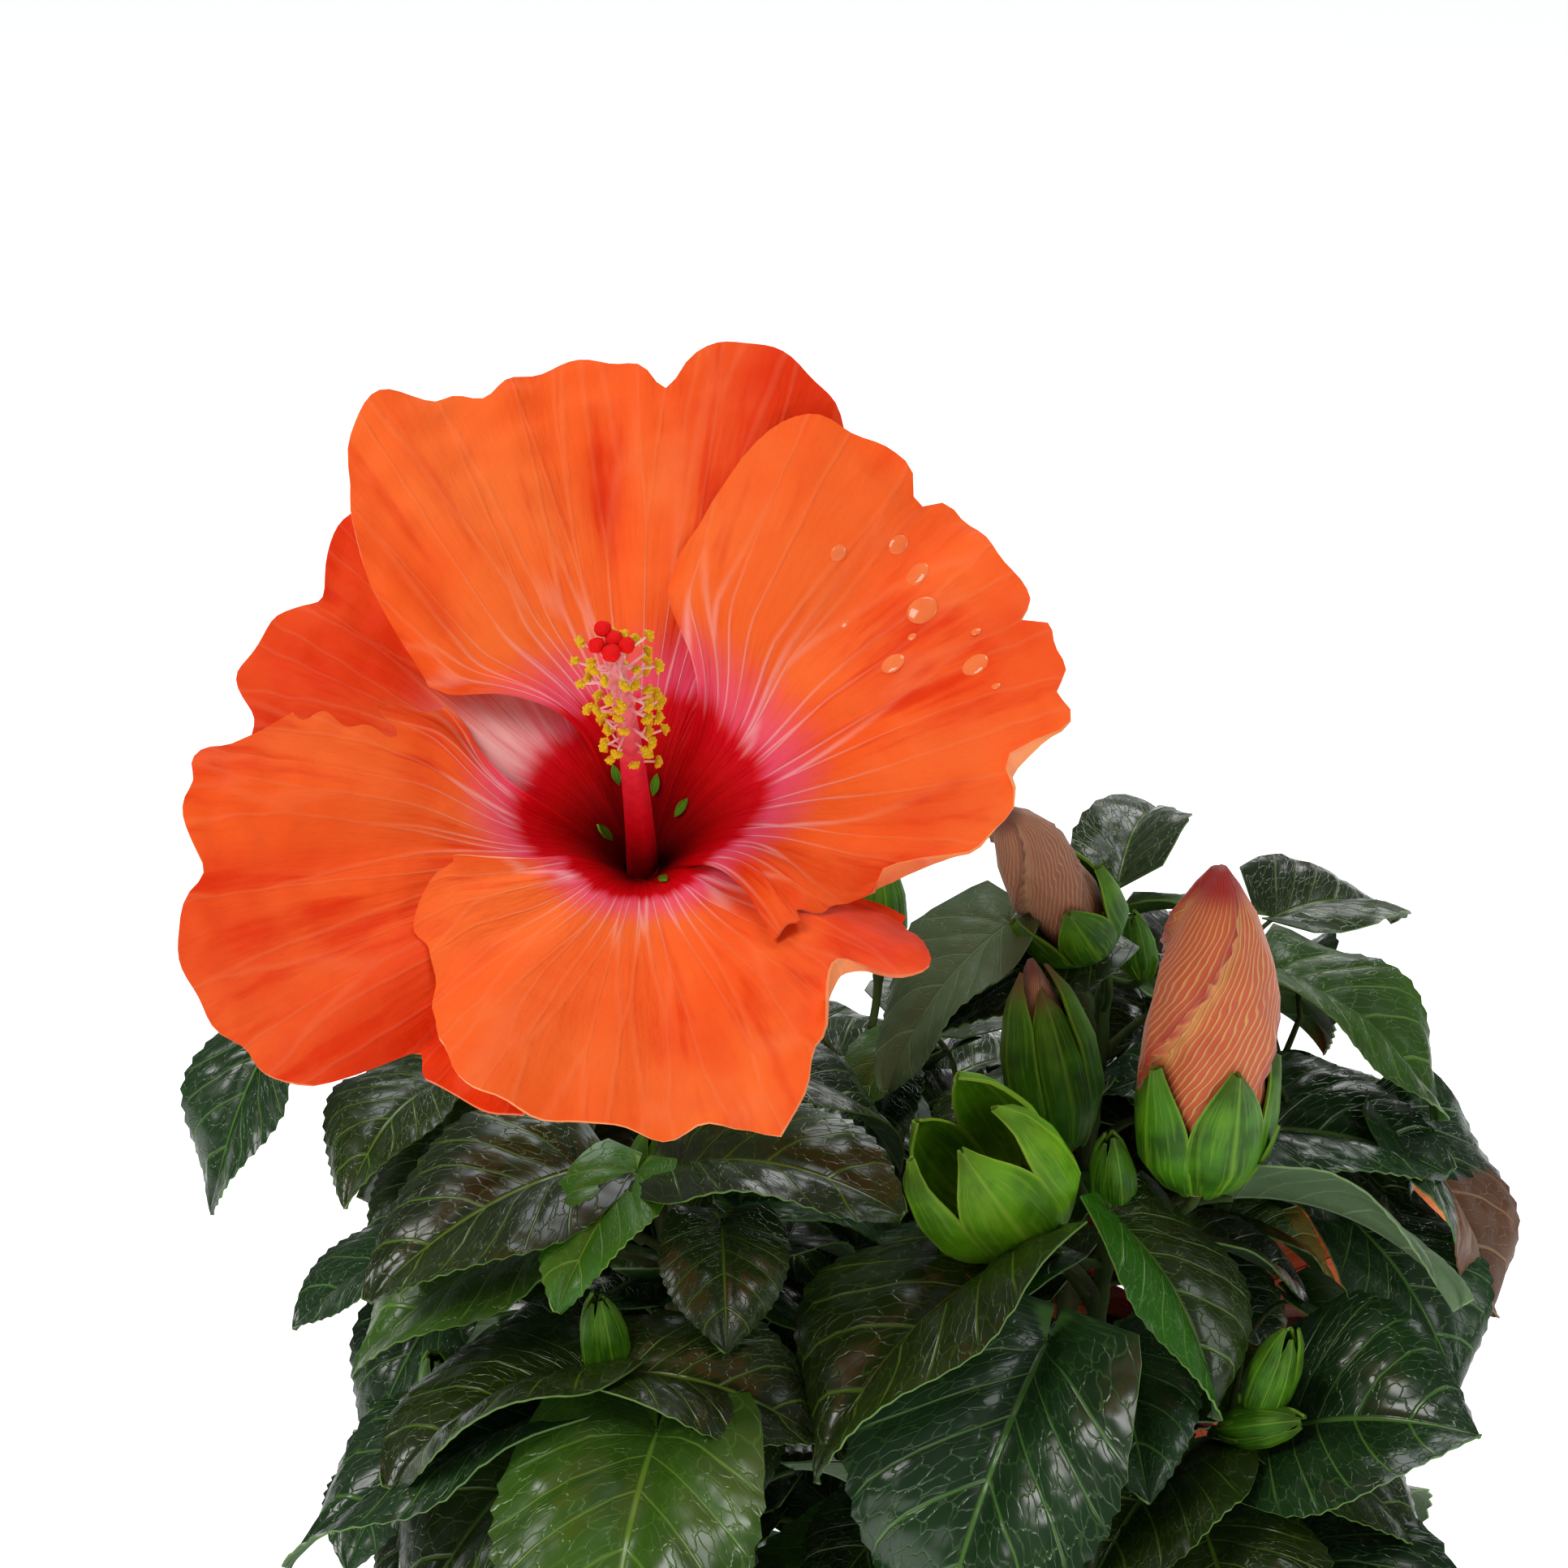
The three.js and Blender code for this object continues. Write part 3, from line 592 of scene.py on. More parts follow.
@dataclass(frozen=True)
class LeafFinish:
    """Green of one kind of leaf: its top, underside and margin."""

    name: str
    deep: str
    fresh: str
    vein: str
    gloss: float
    under: str = "5a7350"
    under_vein: str = "8ea07a"
    rim: str = "5c7a3c"
    laterals: int = 6

    def veins(self, shader: Shader) -> tuple[Socket, Socket]:
        """Vein lines from the leaf's own UV map, whose rows run along its side veins.

        Args:
            shader: the material being made.

        Returns:
            Strength of the main veins and of the fine net.
        """
        across, along = shader.grid()
        out = shader.calc("ABSOLUTE", shader.calc("MULTIPLY_ADD", across, 2.0, -1.0))
        phase = shader.calc("FRACT", shader.calc("MULTIPLY_ADD", along, float(self.laterals), 0.5))
        offset = shader.calc("ABSOLUTE", shader.calc("SUBTRACT", phase, 0.5))
        side = shader.step(offset, 0.012, 0.05, 1.0, 0.0)
        side = shader.times(side, shader.step(out, 0.82, 0.98, 0.85, 0.15))
        main = shader.calc("MAXIMUM", shader.step(out, 0.012, 0.04, 1.0, 0.0), side)
        place = shader.vector(shader.times(across, 13.0), shader.times(along, 24.0))
        wobble = shader.add("ShaderNodeTexNoise", {"Vector": place, "Scale": 0.9, "Detail": 2.0})
        inputs = {0: wobble.outputs["Color"], 1: place}
        moved = shader.add("ShaderNodeVectorMath", inputs, operation="ADD").outputs["Vector"]
        return main, shader.step(shader.cracks(moved), 0.0, 0.07, 1.0, 0.0)

    def material(self, face: Face) -> bpy.types.Material:
        """Material of one face of the leaf.

        Args:
            face: Face of the leaf.

        Returns:
            The material.
        """
        shader = Shader(f"leaf_{self.name}_{face.value}")
        if face is Face.RIM:
            mottle = shader.noise(900.0)
            colour = shader.mix(mottle, self.rim, self.vein)
            return shader.finish(base_color=colour, roughness=0.55)
        main, net = self.veins(shader)
        lines = shader.calc("MAXIMUM", main, shader.times(net, 0.26))
        tone = shader.trait("tone")
        if face is Face.UNDER:
            ground = shader.mix(shader.noise(60.0), self.under, self.fresh)
            ground = shader.mix(0.65, ground, self.under)
            colour = shader.mix(shader.times(lines, 0.6), ground, self.under_vein)
            shader.bump(lines, 0.5, 0.35)
            return shader.finish(base_color=colour, roughness=0.6, specular_ior_level=0.3)
        cloud = shader.noise(45.0, 4.0)
        ground = shader.mix(shader.step(cloud, 0.3, 0.75), self.deep, self.fresh)
        ground = shader.mix(shader.times(tone, 0.45), ground, self.fresh)
        colour = shader.mix(shader.times(lines, 0.7), ground, self.vein)
        pillows = {"Vector": shader.place, "Scale": 210.0, "Smoothness": 0.8}
        pillow = shader.add("ShaderNodeTexVoronoi", pillows, feature="SMOOTH_F1").outputs["Distance"]
        relief = shader.calc("SUBTRACT", shader.times(pillow, -2.4), lines)
        shader.bump(relief, 0.6, 0.4)
        rough = shader.step(shader.noise(130.0), 0.25, 0.8, self.gloss - 0.05, self.gloss + 0.12)
        return shader.finish(base_color=colour, roughness=rough, specular_ior_level=0.5)


class Look(Enum):
    """Kinds of leaf on the shrub, in the order of their material slots."""

    DARK = 0
    COOL = 1
    FRESH = 2
    YOUNG = 3
    HALF_YOUNG = 4
    WITHERED = 5
    PALE = 6


LEAF_FINISHES = {
    Look.DARK: LeafFinish("dark", "151f08", "26390c", "608424", 0.24),
    Look.COOL: LeafFinish("cool", "132613", "203f1c", "5d8a3a", 0.22),
    Look.FRESH: LeafFinish("fresh", "26420e", "3c6216", "6c9430", 0.28, under="4c7a34"),
    Look.YOUNG: LeafFinish("young", "26540a", "40800e", "7cab34", 0.32, under="5a9030", rim="86ac48"),
    Look.HALF_YOUNG: LeafFinish("half_bright", "1e4a08", "2c640c", "6a9c30", 0.28),
    Look.WITHERED: LeafFinish("withered", "4c2c16", "7a4c2c", "a07a50", 0.42, under="6a4a30", rim="5a3a22"),
    Look.PALE: LeafFinish("pale", "4a6240", "5d7a4e", "7f9a68", 0.5),
}


@dataclass(frozen=True)
class PetalFinish:
    """Orange of the petals, with a crimson throat, a magenta halo and pale veins."""

    name: str
    outer: str
    inner: str
    # Red of the streaks and patches, also used as painted shade.
    flame_and_shade: str
    vein: str
    inner_vein: str = "ffd2d2"
    halo: str = "ec4e7c"
    blush: str = "ffbeba"
    throat: tuple[tuple[float, str], ...] = (
        (0.0, "440002"), (0.2, "8c0004"), (0.36, "bc0004"),
        (0.5, "d20016"), (0.62, "e00a50"), (1.0, "e6408a"),
    )

    def material(self) -> bpy.types.Material:
        """Material of one face of the petals.

        Returns:
            The material.
        """
        shader = Shader(f"petal_{self.name}")
        across, along = shader.grid()
        reach = shader.trait("reach")
        lobe = shader.trait("lobe")
        lane = shader.vector(shader.times(across, 26.0), shader.times(along, 2.2), shader.times(lobe, 9.0))
        streak = shader.noise(1.0, 4.0, lane)
        fine = shader.noise(3.1, 3.0, lane)
        cloud = shader.noise(28.0, 3.0)
        ground = shader.mix(shader.step(cloud, 0.3, 0.75), self.outer, self.inner)
        patch = shader.calc("MULTIPLY_ADD", shader.noise(45.0, 4.0), 1.2, -0.6)
        # Redder by random streaks and patches, and by the redness each vertex carries: partly the petals'
        # own colour, partly painted shade under overlapping petal edges and in fold valleys.
        flame_and_shade_share = shader.plus(shader.times(shader.step(streak, 0.5, 0.75), 0.45), patch)
        flame_and_shade_share = shader.plus(shader.times(shader.trait("flush"), 0.8), flame_and_shade_share)
        flame_and_shade_share = shader.step(flame_and_shade_share, 0.0, 1.0, 0.0, 0.9)
        ground = shader.mix(flame_and_shade_share, ground, self.flame_and_shade)
        wander = shader.times(shader.noise(1.0, 2.0, lane), 0.02)
        spread = shader.times(shader.plus(across, wander), 17.0)
        branch = shader.vector(spread, shader.times(along, 1.1), shader.times(lobe, 5.0))
        web = shader.step(shader.cracks(branch), 0.0, 0.07, 1.0, 0.0)
        fading = shader.step(reach, 14.0, 52.0, 0.5, 0.07)
        jitter = shader.calc("MULTIPLY_ADD", streak, 7.0, -3.5)
        ring = shader.plus(reach, jitter)
        line = shader.mix(shader.step(reach, 24.0, 44.0), self.inner_vein, self.vein)
        halo = shader.times(shader.step(ring, 17.0, 22.0), shader.step(ring, 22.0, 33.0, 0.7, 0.0))
        ground = shader.mix(halo, ground, self.halo)
        colour = shader.mix(shader.times(web, fading), ground, line)
        throat = shader.ramp(shader.calc("DIVIDE", ring, 40.0), self.throat)
        colour = shader.mix(shader.step(ring, 19.0, 23.5, 1.0, 0.0), colour, throat)
        blush = shader.times(shader.trait("blush"), shader.step(streak, 0.3, 0.55, 0.45, 1.0))
        colour = shader.mix(blush, colour, self.blush)
        relief = shader.plus(shader.times(fine, 0.8), shader.times(web, 0.3))
        shader.bump(shader.plus(relief, shader.noise(300.0, 5.0)), 0.65, 0.6)
        return shader.finish(
            base_color=colour,
            roughness=shader.step(cloud, 0.2, 0.8, 0.5, 0.62),
            specular_ior_level=0.07,
            subsurface_weight=0.08,
            subsurface_radius=(0.004, 0.0015, 0.0008),
            subsurface_scale=0.5,
        )


@dataclass(frozen=True)
class SepalFinish:
    """Green of sepals and bracts, ribbed along, paler to the rim."""

    name: str
    deep: str
    fresh: str
    rib: str
    dry: str = "6d4a34"

    def material(self) -> bpy.types.Material:
        """Material of the sepals.

        Returns:
            The material.
        """
        shader = Shader(f"sepal_{self.name}")
        across, along = shader.grid()
        rows = shader.vector(shader.times(across, 9.0), shader.times(along, 1.4))
        lines = shader.step(shader.noise(1.6, 2.0, rows), 0.5, 0.62)
        out = shader.calc("ABSOLUTE", shader.calc("MULTIPLY_ADD", across, 2.0, -1.0))
        ground = shader.mix(shader.step(shader.noise(150.0), 0.3, 0.7), self.deep, self.fresh)
        colour = shader.mix(shader.times(lines, 0.22), ground, self.rib)
        colour = shader.mix(shader.step(out, 0.0, 0.1, 0.5, 0.0), colour, self.rib)
        colour = shader.mix(shader.step(out, 0.86, 1.0, 0.0, 0.6), colour, self.rib)
        colour = shader.mix(shader.trait("dry"), colour, self.dry)
        shader.bump(shader.plus(lines, shader.noise(500.0)), 0.45, 0.3)
        return shader.finish(base_color=colour, roughness=0.48, specular_ior_level=0.25)


@dataclass(frozen=True)
class RollFinish:
    """Rolled petals of a bud: salmon, with yellowish slanting veins and a red tip."""

    name: str
    ground: str
    vein: str
    tip: str

    def material(self) -> bpy.types.Material:
        """Material of the rolled petals.

        Returns:
            The material.
        """
        shader = Shader(f"roll_{self.name}")
        across, along = shader.grid()
        slant = shader.vector(
            shader.calc("MULTIPLY_ADD", along, 26.0, shader.times(across, -15.0)),
            shader.calc("MULTIPLY_ADD", along, 2.0, shader.times(across, 6.0)),
        )
        cloud = shader.noise(90.0, 3.0)
        bend = shader.times(shader.noise(0.35, 2.0, slant), 3.0)
        turn = shader.calc("MULTIPLY_ADD", along, 24.0, shader.times(across, -46.0))
        phase = shader.calc("FRACT", shader.plus(turn, bend))
        offset = shader.calc("ABSOLUTE", shader.calc("SUBTRACT", phase, 0.5))
        lines = shader.step(offset, 0.08, 0.26, 1.0, 0.0)
        colour = shader.mix(shader.times(lines, 0.75), self.ground, self.vein)
        colour = shader.mix(shader.step(cloud, 0.5, 0.8, 0.0, 0.45), colour, self.tip)
        colour = shader.mix(shader.times(shader.trait("hem"), 0.6), colour, self.vein)
        colour = shader.mix(shader.times(shader.trait("crease"), 0.85), colour, self.tip)
        colour = shader.mix(shader.step(along, 0.88, 0.96), colour, self.tip)
        shader.bump(shader.plus(lines, cloud), 0.6, 0.5)
        return shader.finish(base_color=colour, roughness=0.6, sheen_weight=0.25, sheen_roughness=0.4)


@dataclass(frozen=True)
class BarkFinish:
    """Bark that fades from grey-brown wood to green twigs by the age that vertices carry."""

    name: str
    wood: str
    crack: str
    green: str
    lichen: str = "a39680"

    def material(self) -> bpy.types.Material:
        """Material of the bark.

        Returns:
            The material.
        """
        shader = Shader(f"bark_{self.name}")
        split = shader.add("ShaderNodeMapping", {"Vector": shader.place, "Scale": (1.0, 1.0, 0.22)})
        grain = shader.noise(900.0, 5.0, split.outputs["Vector"])
        flecks = {"Vector": shader.place, "Scale": 420.0}
        spots = shader.add("ShaderNodeTexVoronoi", flecks).outputs["Distance"]
        colour = shader.mix(shader.step(grain, 0.35, 0.65), self.crack, self.wood)
        colour = shader.mix(shader.step(spots, 0.12, 0.22, 0.4, 0.0), colour, self.lichen)
        fresh = shader.mix(shader.noise(260.0), self.green, self.wood)
        fresh = shader.mix(0.7, fresh, self.green)
        colour = shader.mix(shader.trait("youth"), colour, fresh)
        shader.bump(grain, 0.7, 0.6)
        return shader.finish(base_color=colour, roughness=0.8, specular_ior_level=0.25)


@dataclass(frozen=True)
class FleshFinish:
    """Column, filaments, anthers and stigma: a colour that runs along, with a granular skin."""

    name: str
    stops: tuple[tuple[float, str], ...]
    grain: float
    depth: float
    roughness: float

    def material(self) -> bpy.types.Material:
        """Material of one fleshy kind.

        Returns:
            The material.
        """
        shader = Shader(f"flesh_{self.name}")
        colour = shader.ramp(shader.trait("along"), self.stops)
        mottle = shader.noise(self.grain, 3.0)
        colour = shader.mix(shader.step(mottle, 0.3, 0.8, 0.0, 0.35), colour, self.stops[0][1])
        shader.bump(mottle, 0.6, self.depth)
        return shader.finish(
            base_color=colour, roughness=self.roughness, specular_ior_level=0.12, subsurface_weight=0.1,
            subsurface_radius=(0.002, 0.001, 0.0005), subsurface_scale=0.4,
        )


@dataclass(frozen=True)
class DropFinish:
    """Clear water lying on a petal, which shines through it in two tones."""

    name: str = "water"
    deep: str = "f2662c"
    light: str = "f58a50"

    def material(self) -> bpy.types.Material:
        """Material of the water drops.

        Returns:
            The material.
        """
        shader = Shader(self.name)
        tint = shader.mix(shader.noise(300.0), self.deep, self.light)
        return shader.finish(base_color=tint, roughness=0.08, specular_ior_level=0.4)


PETAL_TOP = PetalFinish("top", "fa5e20", "fc7634", "dc2c08", "ffac7c")
PETAL_UNDER = PetalFinish("under", "f08a52", "f6a26c", "e2603a", "f8c09a")
SEPAL = SepalFinish("calyx", "2a5604", "46820c", "86b42c")
CUP_SEPAL = SepalFinish("cup", "4c8408", "6cac10", "a4cc40")
ROLL = RollFinish("salmon", "cc5a34", "e6a858", "a81c10")
BROWN_ROLL = RollFinish("brown", "a2664a", "ca9a6c", "74402c")
BARK = BarkFinish("stem", "6f604c", "3c3024", "33451d")
TWIG = BarkFinish("twig", "54452f", "33291c", "3d5a22")
COLUMN_FINISH = FleshFinish(
    "column", ((0.0, "8a0610"), (0.25, "ca0a1c"), (0.5, "e02c42"), (0.75, "ec7882"), (1.0, "f09c98")),
    700.0, 0.15, 0.4,
)
FILAMENT_FINISH = FleshFinish(
    "filament", ((0.0, "e88090"), (0.5, "f0b0b0"), (1.0, "f4d0b8")), 900.0, 0.05, 0.45
)
ANTHER_FINISH = FleshFinish("anther", ((0.0, "b88206"), (0.5, "dca810"), (1.0, "f2cc30")), 2600.0, 0.3, 0.7)
STIGMA_FINISH = FleshFinish("stigma", ((0.0, "a80006"), (0.5, "e00408"), (1.0, "f01414")), 3200.0, 0.3, 0.75)


# ------------------------------------------------------------------ growth rule of the solids


class Mass(str, Enum):
    """Masses of foliage, one on each bough, in growing order."""

    FRONT_LEFT = "front_left"
    FRONT_RIGHT = "front_right"
    RIGHT = "right"
    BACK_RIGHT = "back_right"
    BACK = "back"
    BACK_LEFT = "back_left"
    LEFT = "left"


BOUGHS = {
    Mass.FRONT_LEFT: Curve.of((0.5, -1.5, 37), (-8, -8, 58), (-16, -12, 84)),
    Mass.FRONT_RIGHT: Curve.of((5, -1, 38), (18, -5, 56), (27, -10, 84)),
    Mass.RIGHT: Curve.of((7, 0.5, 31), (24, 0, 46), (38, -5, 72)),
    Mass.BACK_RIGHT: Curve.of((6, 5, 36), (22, 14, 58), (31, 21, 86)),
    Mass.BACK: Curve.of((3.5, 6, 38), (4, 22, 56), (2, 33, 82)),
    Mass.BACK_LEFT: Curve.of((1, 5, 35), (-14, 13, 56), (-22, 18, 84)),
    Mass.LEFT: Curve.of((-0.5, 1, 31), (-20, 2, 46), (-34, -1, 70)),
}


@dataclass(frozen=True)
class Shoot:
    """A leafy shoot: the level it starts from, its bend and tip, leaves and first turn."""

    level: float
    bend: Triple
    tip: Triple
    leaves: int
    turn: float


SHOOTS = {
    Mass.FRONT_LEFT: (
        Shoot(0, (-30, -18, 155), (-35, -15, 209), 19, 150),
        Shoot(0.5, (-42, -30, 160), (-47, -38, 178), 7, 200),
    ),
    Mass.FRONT_RIGHT: (
        Shoot(0, (40, -16, 145), (44, -14, 196), 19, 20),
        Shoot(0.34, (18, -30, 140), (6, -36, 158), 8, 250),
    ),
    Mass.RIGHT: (Shoot(0, (62, -16, 115), (66, -25, 160), 19, 330),),
    Mass.BACK_RIGHT: (
        Shoot(0, (42, 34, 155), (46, 35, 224), 20, 60),
        Shoot(0.56, (66, 30, 180), (82, 22, 208), 10, 10),
    ),
    Mass.BACK: (
        Shoot(0, (4, 52, 145), (2, 50, 206), 20, 90),
        Shoot(0.4, (12, 66, 150), (14, 78, 176), 10, 80),
    ),
    Mass.BACK_LEFT: (
        Shoot(0, (-38, 36, 145), (-42, 38, 215), 20, 130),
        Shoot(0.55, (-62, 34, 190), (-78, 25, 212), 10, 170),
    ),
    Mass.LEFT: (Shoot(0, (-66, -2, 100), (-76, -8, 152), 20, 190),),
}
SEEDS = dict(zip(Mass, (11, 23, 37, 41, 53, 67, 79)))


@dataclass(frozen=True)
class LeafRow:
    """One leaf in the rule's own terms: where it stands, its petiole and its blade."""

    shoot: int
    level: float
    turn: float
    rise: float
    petiole: float
    blade_turn: float
    pitch: float
    length: float
    width: float
    arch: float
    roll: float
    look: Look = Look.DARK

    def changed(self, by: float, size: float) -> "LeafRow":
        """The row turned round its shoot, with its petiole and blade at a new size.

        Args:
            by: Degrees it is turned.
            size: Factor of its lengths.

        Returns:
            The new row.
        """
        return replace(
            self, turn=self.turn + by, blade_turn=self.blade_turn + by, petiole=self.petiole * size,
            length=self.length * size, width=self.width * size,
        )


LEADING_LEAVES = {
    Mass.FRONT_LEFT: (
        LeafRow(0, 0.93, -158, 33, 21, -153, -22, 47, 36, 50, -12, Look.DARK),
        LeafRow(0, 0.97, -90, 41, 12, -28, 2, 48, 33, 60, 12, Look.DARK),
        LeafRow(0, 0.99, -115, 27, 16, -120, -30, 32, 20, 40, 0, Look.YOUNG),
        LeafRow(0, 0.88, -62, 31, 19, -87, -40, 25, 23, 45, 0, Look.DARK),
        LeafRow(0, 0.8, 160, 2, 46, -169, -30, 36, 25, 40, 0, Look.COOL),
        LeafRow(1, 0.75, -117, 53, 16, -151, -17, 44, 43, 60, 14, Look.DARK),
        LeafRow(1, 0.65, -92, 50, 25, -12, -17, 40, 30, 55, 10, Look.DARK),
        LeafRow(1, 0.4, -89, 33, 34, -103, -42, 58, 48, 60, 0, Look.FRESH),
        LeafRow(1, 0.5, -127, 33, 26, -164, -24, 58, 32, 45, 0, Look.COOL),
    ),
    Mass.FRONT_RIGHT: (
        LeafRow(0, 0.97, -93, 44, 20, -46, -50, 42, 32, 55, -14, Look.HALF_YOUNG),
        LeafRow(0, 0.72, -107, 36, 42, -129, -58, 62, 50, 45, -12, Look.COOL),
        LeafRow(0, 0.86, -126, 40, 33, -142, -32, 58, 52, 50, 16, Look.DARK),
        LeafRow(0, 0.97, -10, 29, 25, -23, -17, 48, 32, 60, -30, Look.PALE),
    ),
    Mass.RIGHT: (
        LeafRow(0, 0.9, -25, 46, 15, -28, 14, 41, 48, 50, 26, Look.COOL),
        LeafRow(0, 0.8, -113, 54, 24, -129, -26, 36, 38, 50, 0, Look.DARK),
        LeafRow(0, 0.7, -52, 62, 20, -163, -21, 34, 22, 60, -30, Look.PALE),
        LeafRow(0, 0.55, -86, 50, 42, -80, -33, 40, 38, 50, 0, Look.DARK),
    ),
    Mass.BACK_RIGHT: (
        LeafRow(1, 0.7, -111, 33, 20, -11, -6, 45, 38, 50, 12, Look.COOL),
        LeafRow(1, 0.95, -172, 79, 26, -19, -37, 44, 32, 60, 0, Look.FRESH),
        LeafRow(1, 0.9, -22, 7, 20, -26, -58, 46, 34, 50, 0, Look.WITHERED),
        LeafRow(1, 0.6, -45, 2, 32, -47, -44, 40, 34, 50, 0, Look.COOL),
        LeafRow(0, 0.9, -138, 53, 41, -149, -47, 40, 26, 50, 0, Look.PALE),
        LeafRow(0, 0.97, -105, 58, 19, -149, -17, 40, 23, 55, -20, Look.DARK),
    ),
    Mass.BACK: (),
    Mass.BACK_LEFT: (
        LeafRow(1, 0.4, -126, -7, 35, -136, -52, 40, 24, 40, 0, Look.COOL),
        LeafRow(1, 0.9, -160, 30, 39, -133, -59, 42, 24, 40, 0, Look.COOL),
    ),
    Mass.LEFT: (),
}

# A leaf that has no room is turned, and shortened with its petiole, by these; then it is left out.
TRIES = (
    (0, 1), (26, 1), (-26, 1), (0, 0.72), (44, 0.76), (-44, 0.76), (0, 0.55), (75, 0.6), (-75, 0.6),
)


@dataclass(frozen=True)
class LeafRule:
    """Driving sizes of the leaves along a shoot, from its foot to its tip."""

    thickness: float = 1.3
    fold: float = 24
    length_at_foot: float = 68
    length_at_tip: float = 48
    width_ratio: float = 0.78
    petiole_at_foot: float = 40
    petiole_at_tip: float = 13
    rise_at_foot: float = 0
    rise_at_tip: float = 42
    pitch_at_foot: float = -46
    pitch_at_tip: float = -18
    arch: float = 52
    berth: float = 0.8
    overhang: float = 14
    crown_left: float = -100
    crown_right: float = 108

    def grown(self, shoot: int, level: float, turn: float, dice: Dice) -> LeafRow:
        """Row that the rule gives at one level of a shoot.

        Args:
            shoot: index of the shoot in its mass.
            level: share of the way up the shoot.
            turn: turn of the petiole about +Z.
            dice: the mass's dice, drawn from in the solids' order.

        Returns:
            The leaf's row.
        """
        length = lerp(self.length_at_foot, self.length_at_tip, level) * dice.within(0.88, 1.06)
        rise = lerp(self.rise_at_foot, self.rise_at_tip, level) + dice.within(-8, 8)
        petiole = lerp(self.petiole_at_foot, self.petiole_at_tip, level) * dice.within(0.8, 1.1)
        blade_turn = turn + dice.within(-24, 24)
        pitch = lerp(self.pitch_at_foot, self.pitch_at_tip, level) + dice.within(-10, 10)
        width = length * self.width_ratio * dice.within(0.92, 1.06)
        arch = self.arch * dice.within(0.8, 1.25)
        roll = dice.within(-14, 14)
        return LeafRow(shoot, level, turn, rise, petiole, blade_turn, pitch, length, width, arch, roll)


LEAF_RULE = LeafRule()


def ovate(u: np.ndarray) -> np.ndarray:
    """Half width of the ovate blade, as a share of the widest, from base to tip."""
    inner = np.clip(u, 1e-6, 1 - 1e-6)
    return np.sin(np.pi * inner**0.62) ** (0.75 + 0.55 * inner) * ((u > 0) & (u < 1))


@dataclass(frozen=True)
class Leaf:
    """A grown leaf: its row, the foot of its petiole and the frame of its blade."""

    mass: Mass
    row: LeafRow
    foot: np.ndarray
    base: np.ndarray
    forward: np.ndarray
    side: np.ndarray
    up: np.ndarray

    @staticmethod
    def posed(mass: Mass, row: LeafRow, foot: np.ndarray) -> "Leaf":
        """Leaf of a row whose petiole starts at a foot.

        Args:
            mass: Mass it belongs to.
            row: Row it is made from.
            foot: Place it starts from.

        Returns:
            The leaf in its place.
        """
        base = foot + heading(row.turn, row.rise) * row.petiole
        forward = heading(row.blade_turn, row.pitch)
        flat_side = heading(row.blade_turn + 90, 0)
        flat_up = np.cross(forward, flat_side)
        roll = math.radians(row.roll)
        side = flat_side * math.cos(roll) + flat_up * math.sin(roll)
        return Leaf(mass, row, foot, base, forward, side, np.cross(forward, side))

    def spine(self, u: np.ndarray) -> tuple[np.ndarray, np.ndarray]:
        """Points and upward normals of the arching midrib.

        Args:
            u: Shares of the length, from root to tip.

        Returns:
            Points, and normals of length 1.
        """
        arch = math.radians(self.row.arch)
        bend = arch * (0.5 - u)
        radius = self.row.length / arch
        reach = radius * (math.sin(arch / 2) - np.sin(bend))
        height = radius * (np.cos(bend) - math.cos(arch / 2))
        normal = np.outer(np.cos(bend), self.up) - np.outer(np.sin(bend), self.forward)
        return self.base + np.outer(reach, self.forward) + np.outer(height, self.up), normal

    def coarse(self, u: np.ndarray, v: np.ndarray, lift: np.ndarray) -> np.ndarray:
        """Points of the solids' plain blade.

        Args:
            u: Shares of the length, from root to tip.
            v: Shares of the half width, from -1 to 1.
            lift: Heights above the blade.

        Returns:
            Points in the shared frame.
        """
        middle, normal = self.spine(u)
        half = self.row.width / 2 * ovate(u) * np.abs(v)
        fold = math.radians(LEAF_RULE.fold)
        points = middle + np.outer(np.sign(v) * half * math.cos(fold), self.side)
        return points + normal * (half * math.sin(fold) + lift)[:, None]


class Hull:
    """A coarse closed shape to test for room."""

    def __init__(self, points: np.ndarray, faces: list[tuple[int, ...]]) -> None:
        """Keeps a search tree and a ball round the shape.

        Args:
            points: Points of the shape.
            faces: Faces of the shape.
        """
        self.tree = BVHTree.FromPolygons(points.tolist(), faces)
        self.middle = points.mean(axis=0)
        self.radius = float(np.linalg.norm(points - self.middle, axis=1).max())

    def touches(self, other: "Hull") -> bool:
        """Whether two shapes cross.

        Args:
            other: The other shape.

        Returns:
            True where they cross.
        """
        if np.linalg.norm(self.middle - other.middle) > self.radius + other.radius:
            return False
        return bool(self.tree.overlap(other.tree))


class SepalForm(Enum):
    """How a bud's sepals stand, with their length, free part, shoulder and radii by level."""

    CLOSED = (1.0, 0.7, 2.4, (0.42, 0.7, 1.0, 0.96, 0.66, 0.26))
    ROUND = (0.43, 0.36, 2.1, (0.4, 0.76, 1.08, 1.14, 1.14, 1.12))
    OPEN = (1.0, 0.42, 2.4, (0.35, 0.76, 1.08, 1.12, 0.98, 0.72))

    def __init__(self, length: float, free: float, shoulder: float, radii: tuple[float, ...]) -> None:
        """Names the parts of the form.

        Args:
            length: Length as a share of the bud's.
            free: Share from which they stand apart.
            shoulder: Power of the point's taper.
            radii: Radii by level.
        """
        self.length = length
        self.free = free
        self.shoulder = shoulder
        self.radii = radii
        self.levels = (0, 0.08, 0.3, 0.58, 0.84, 1)


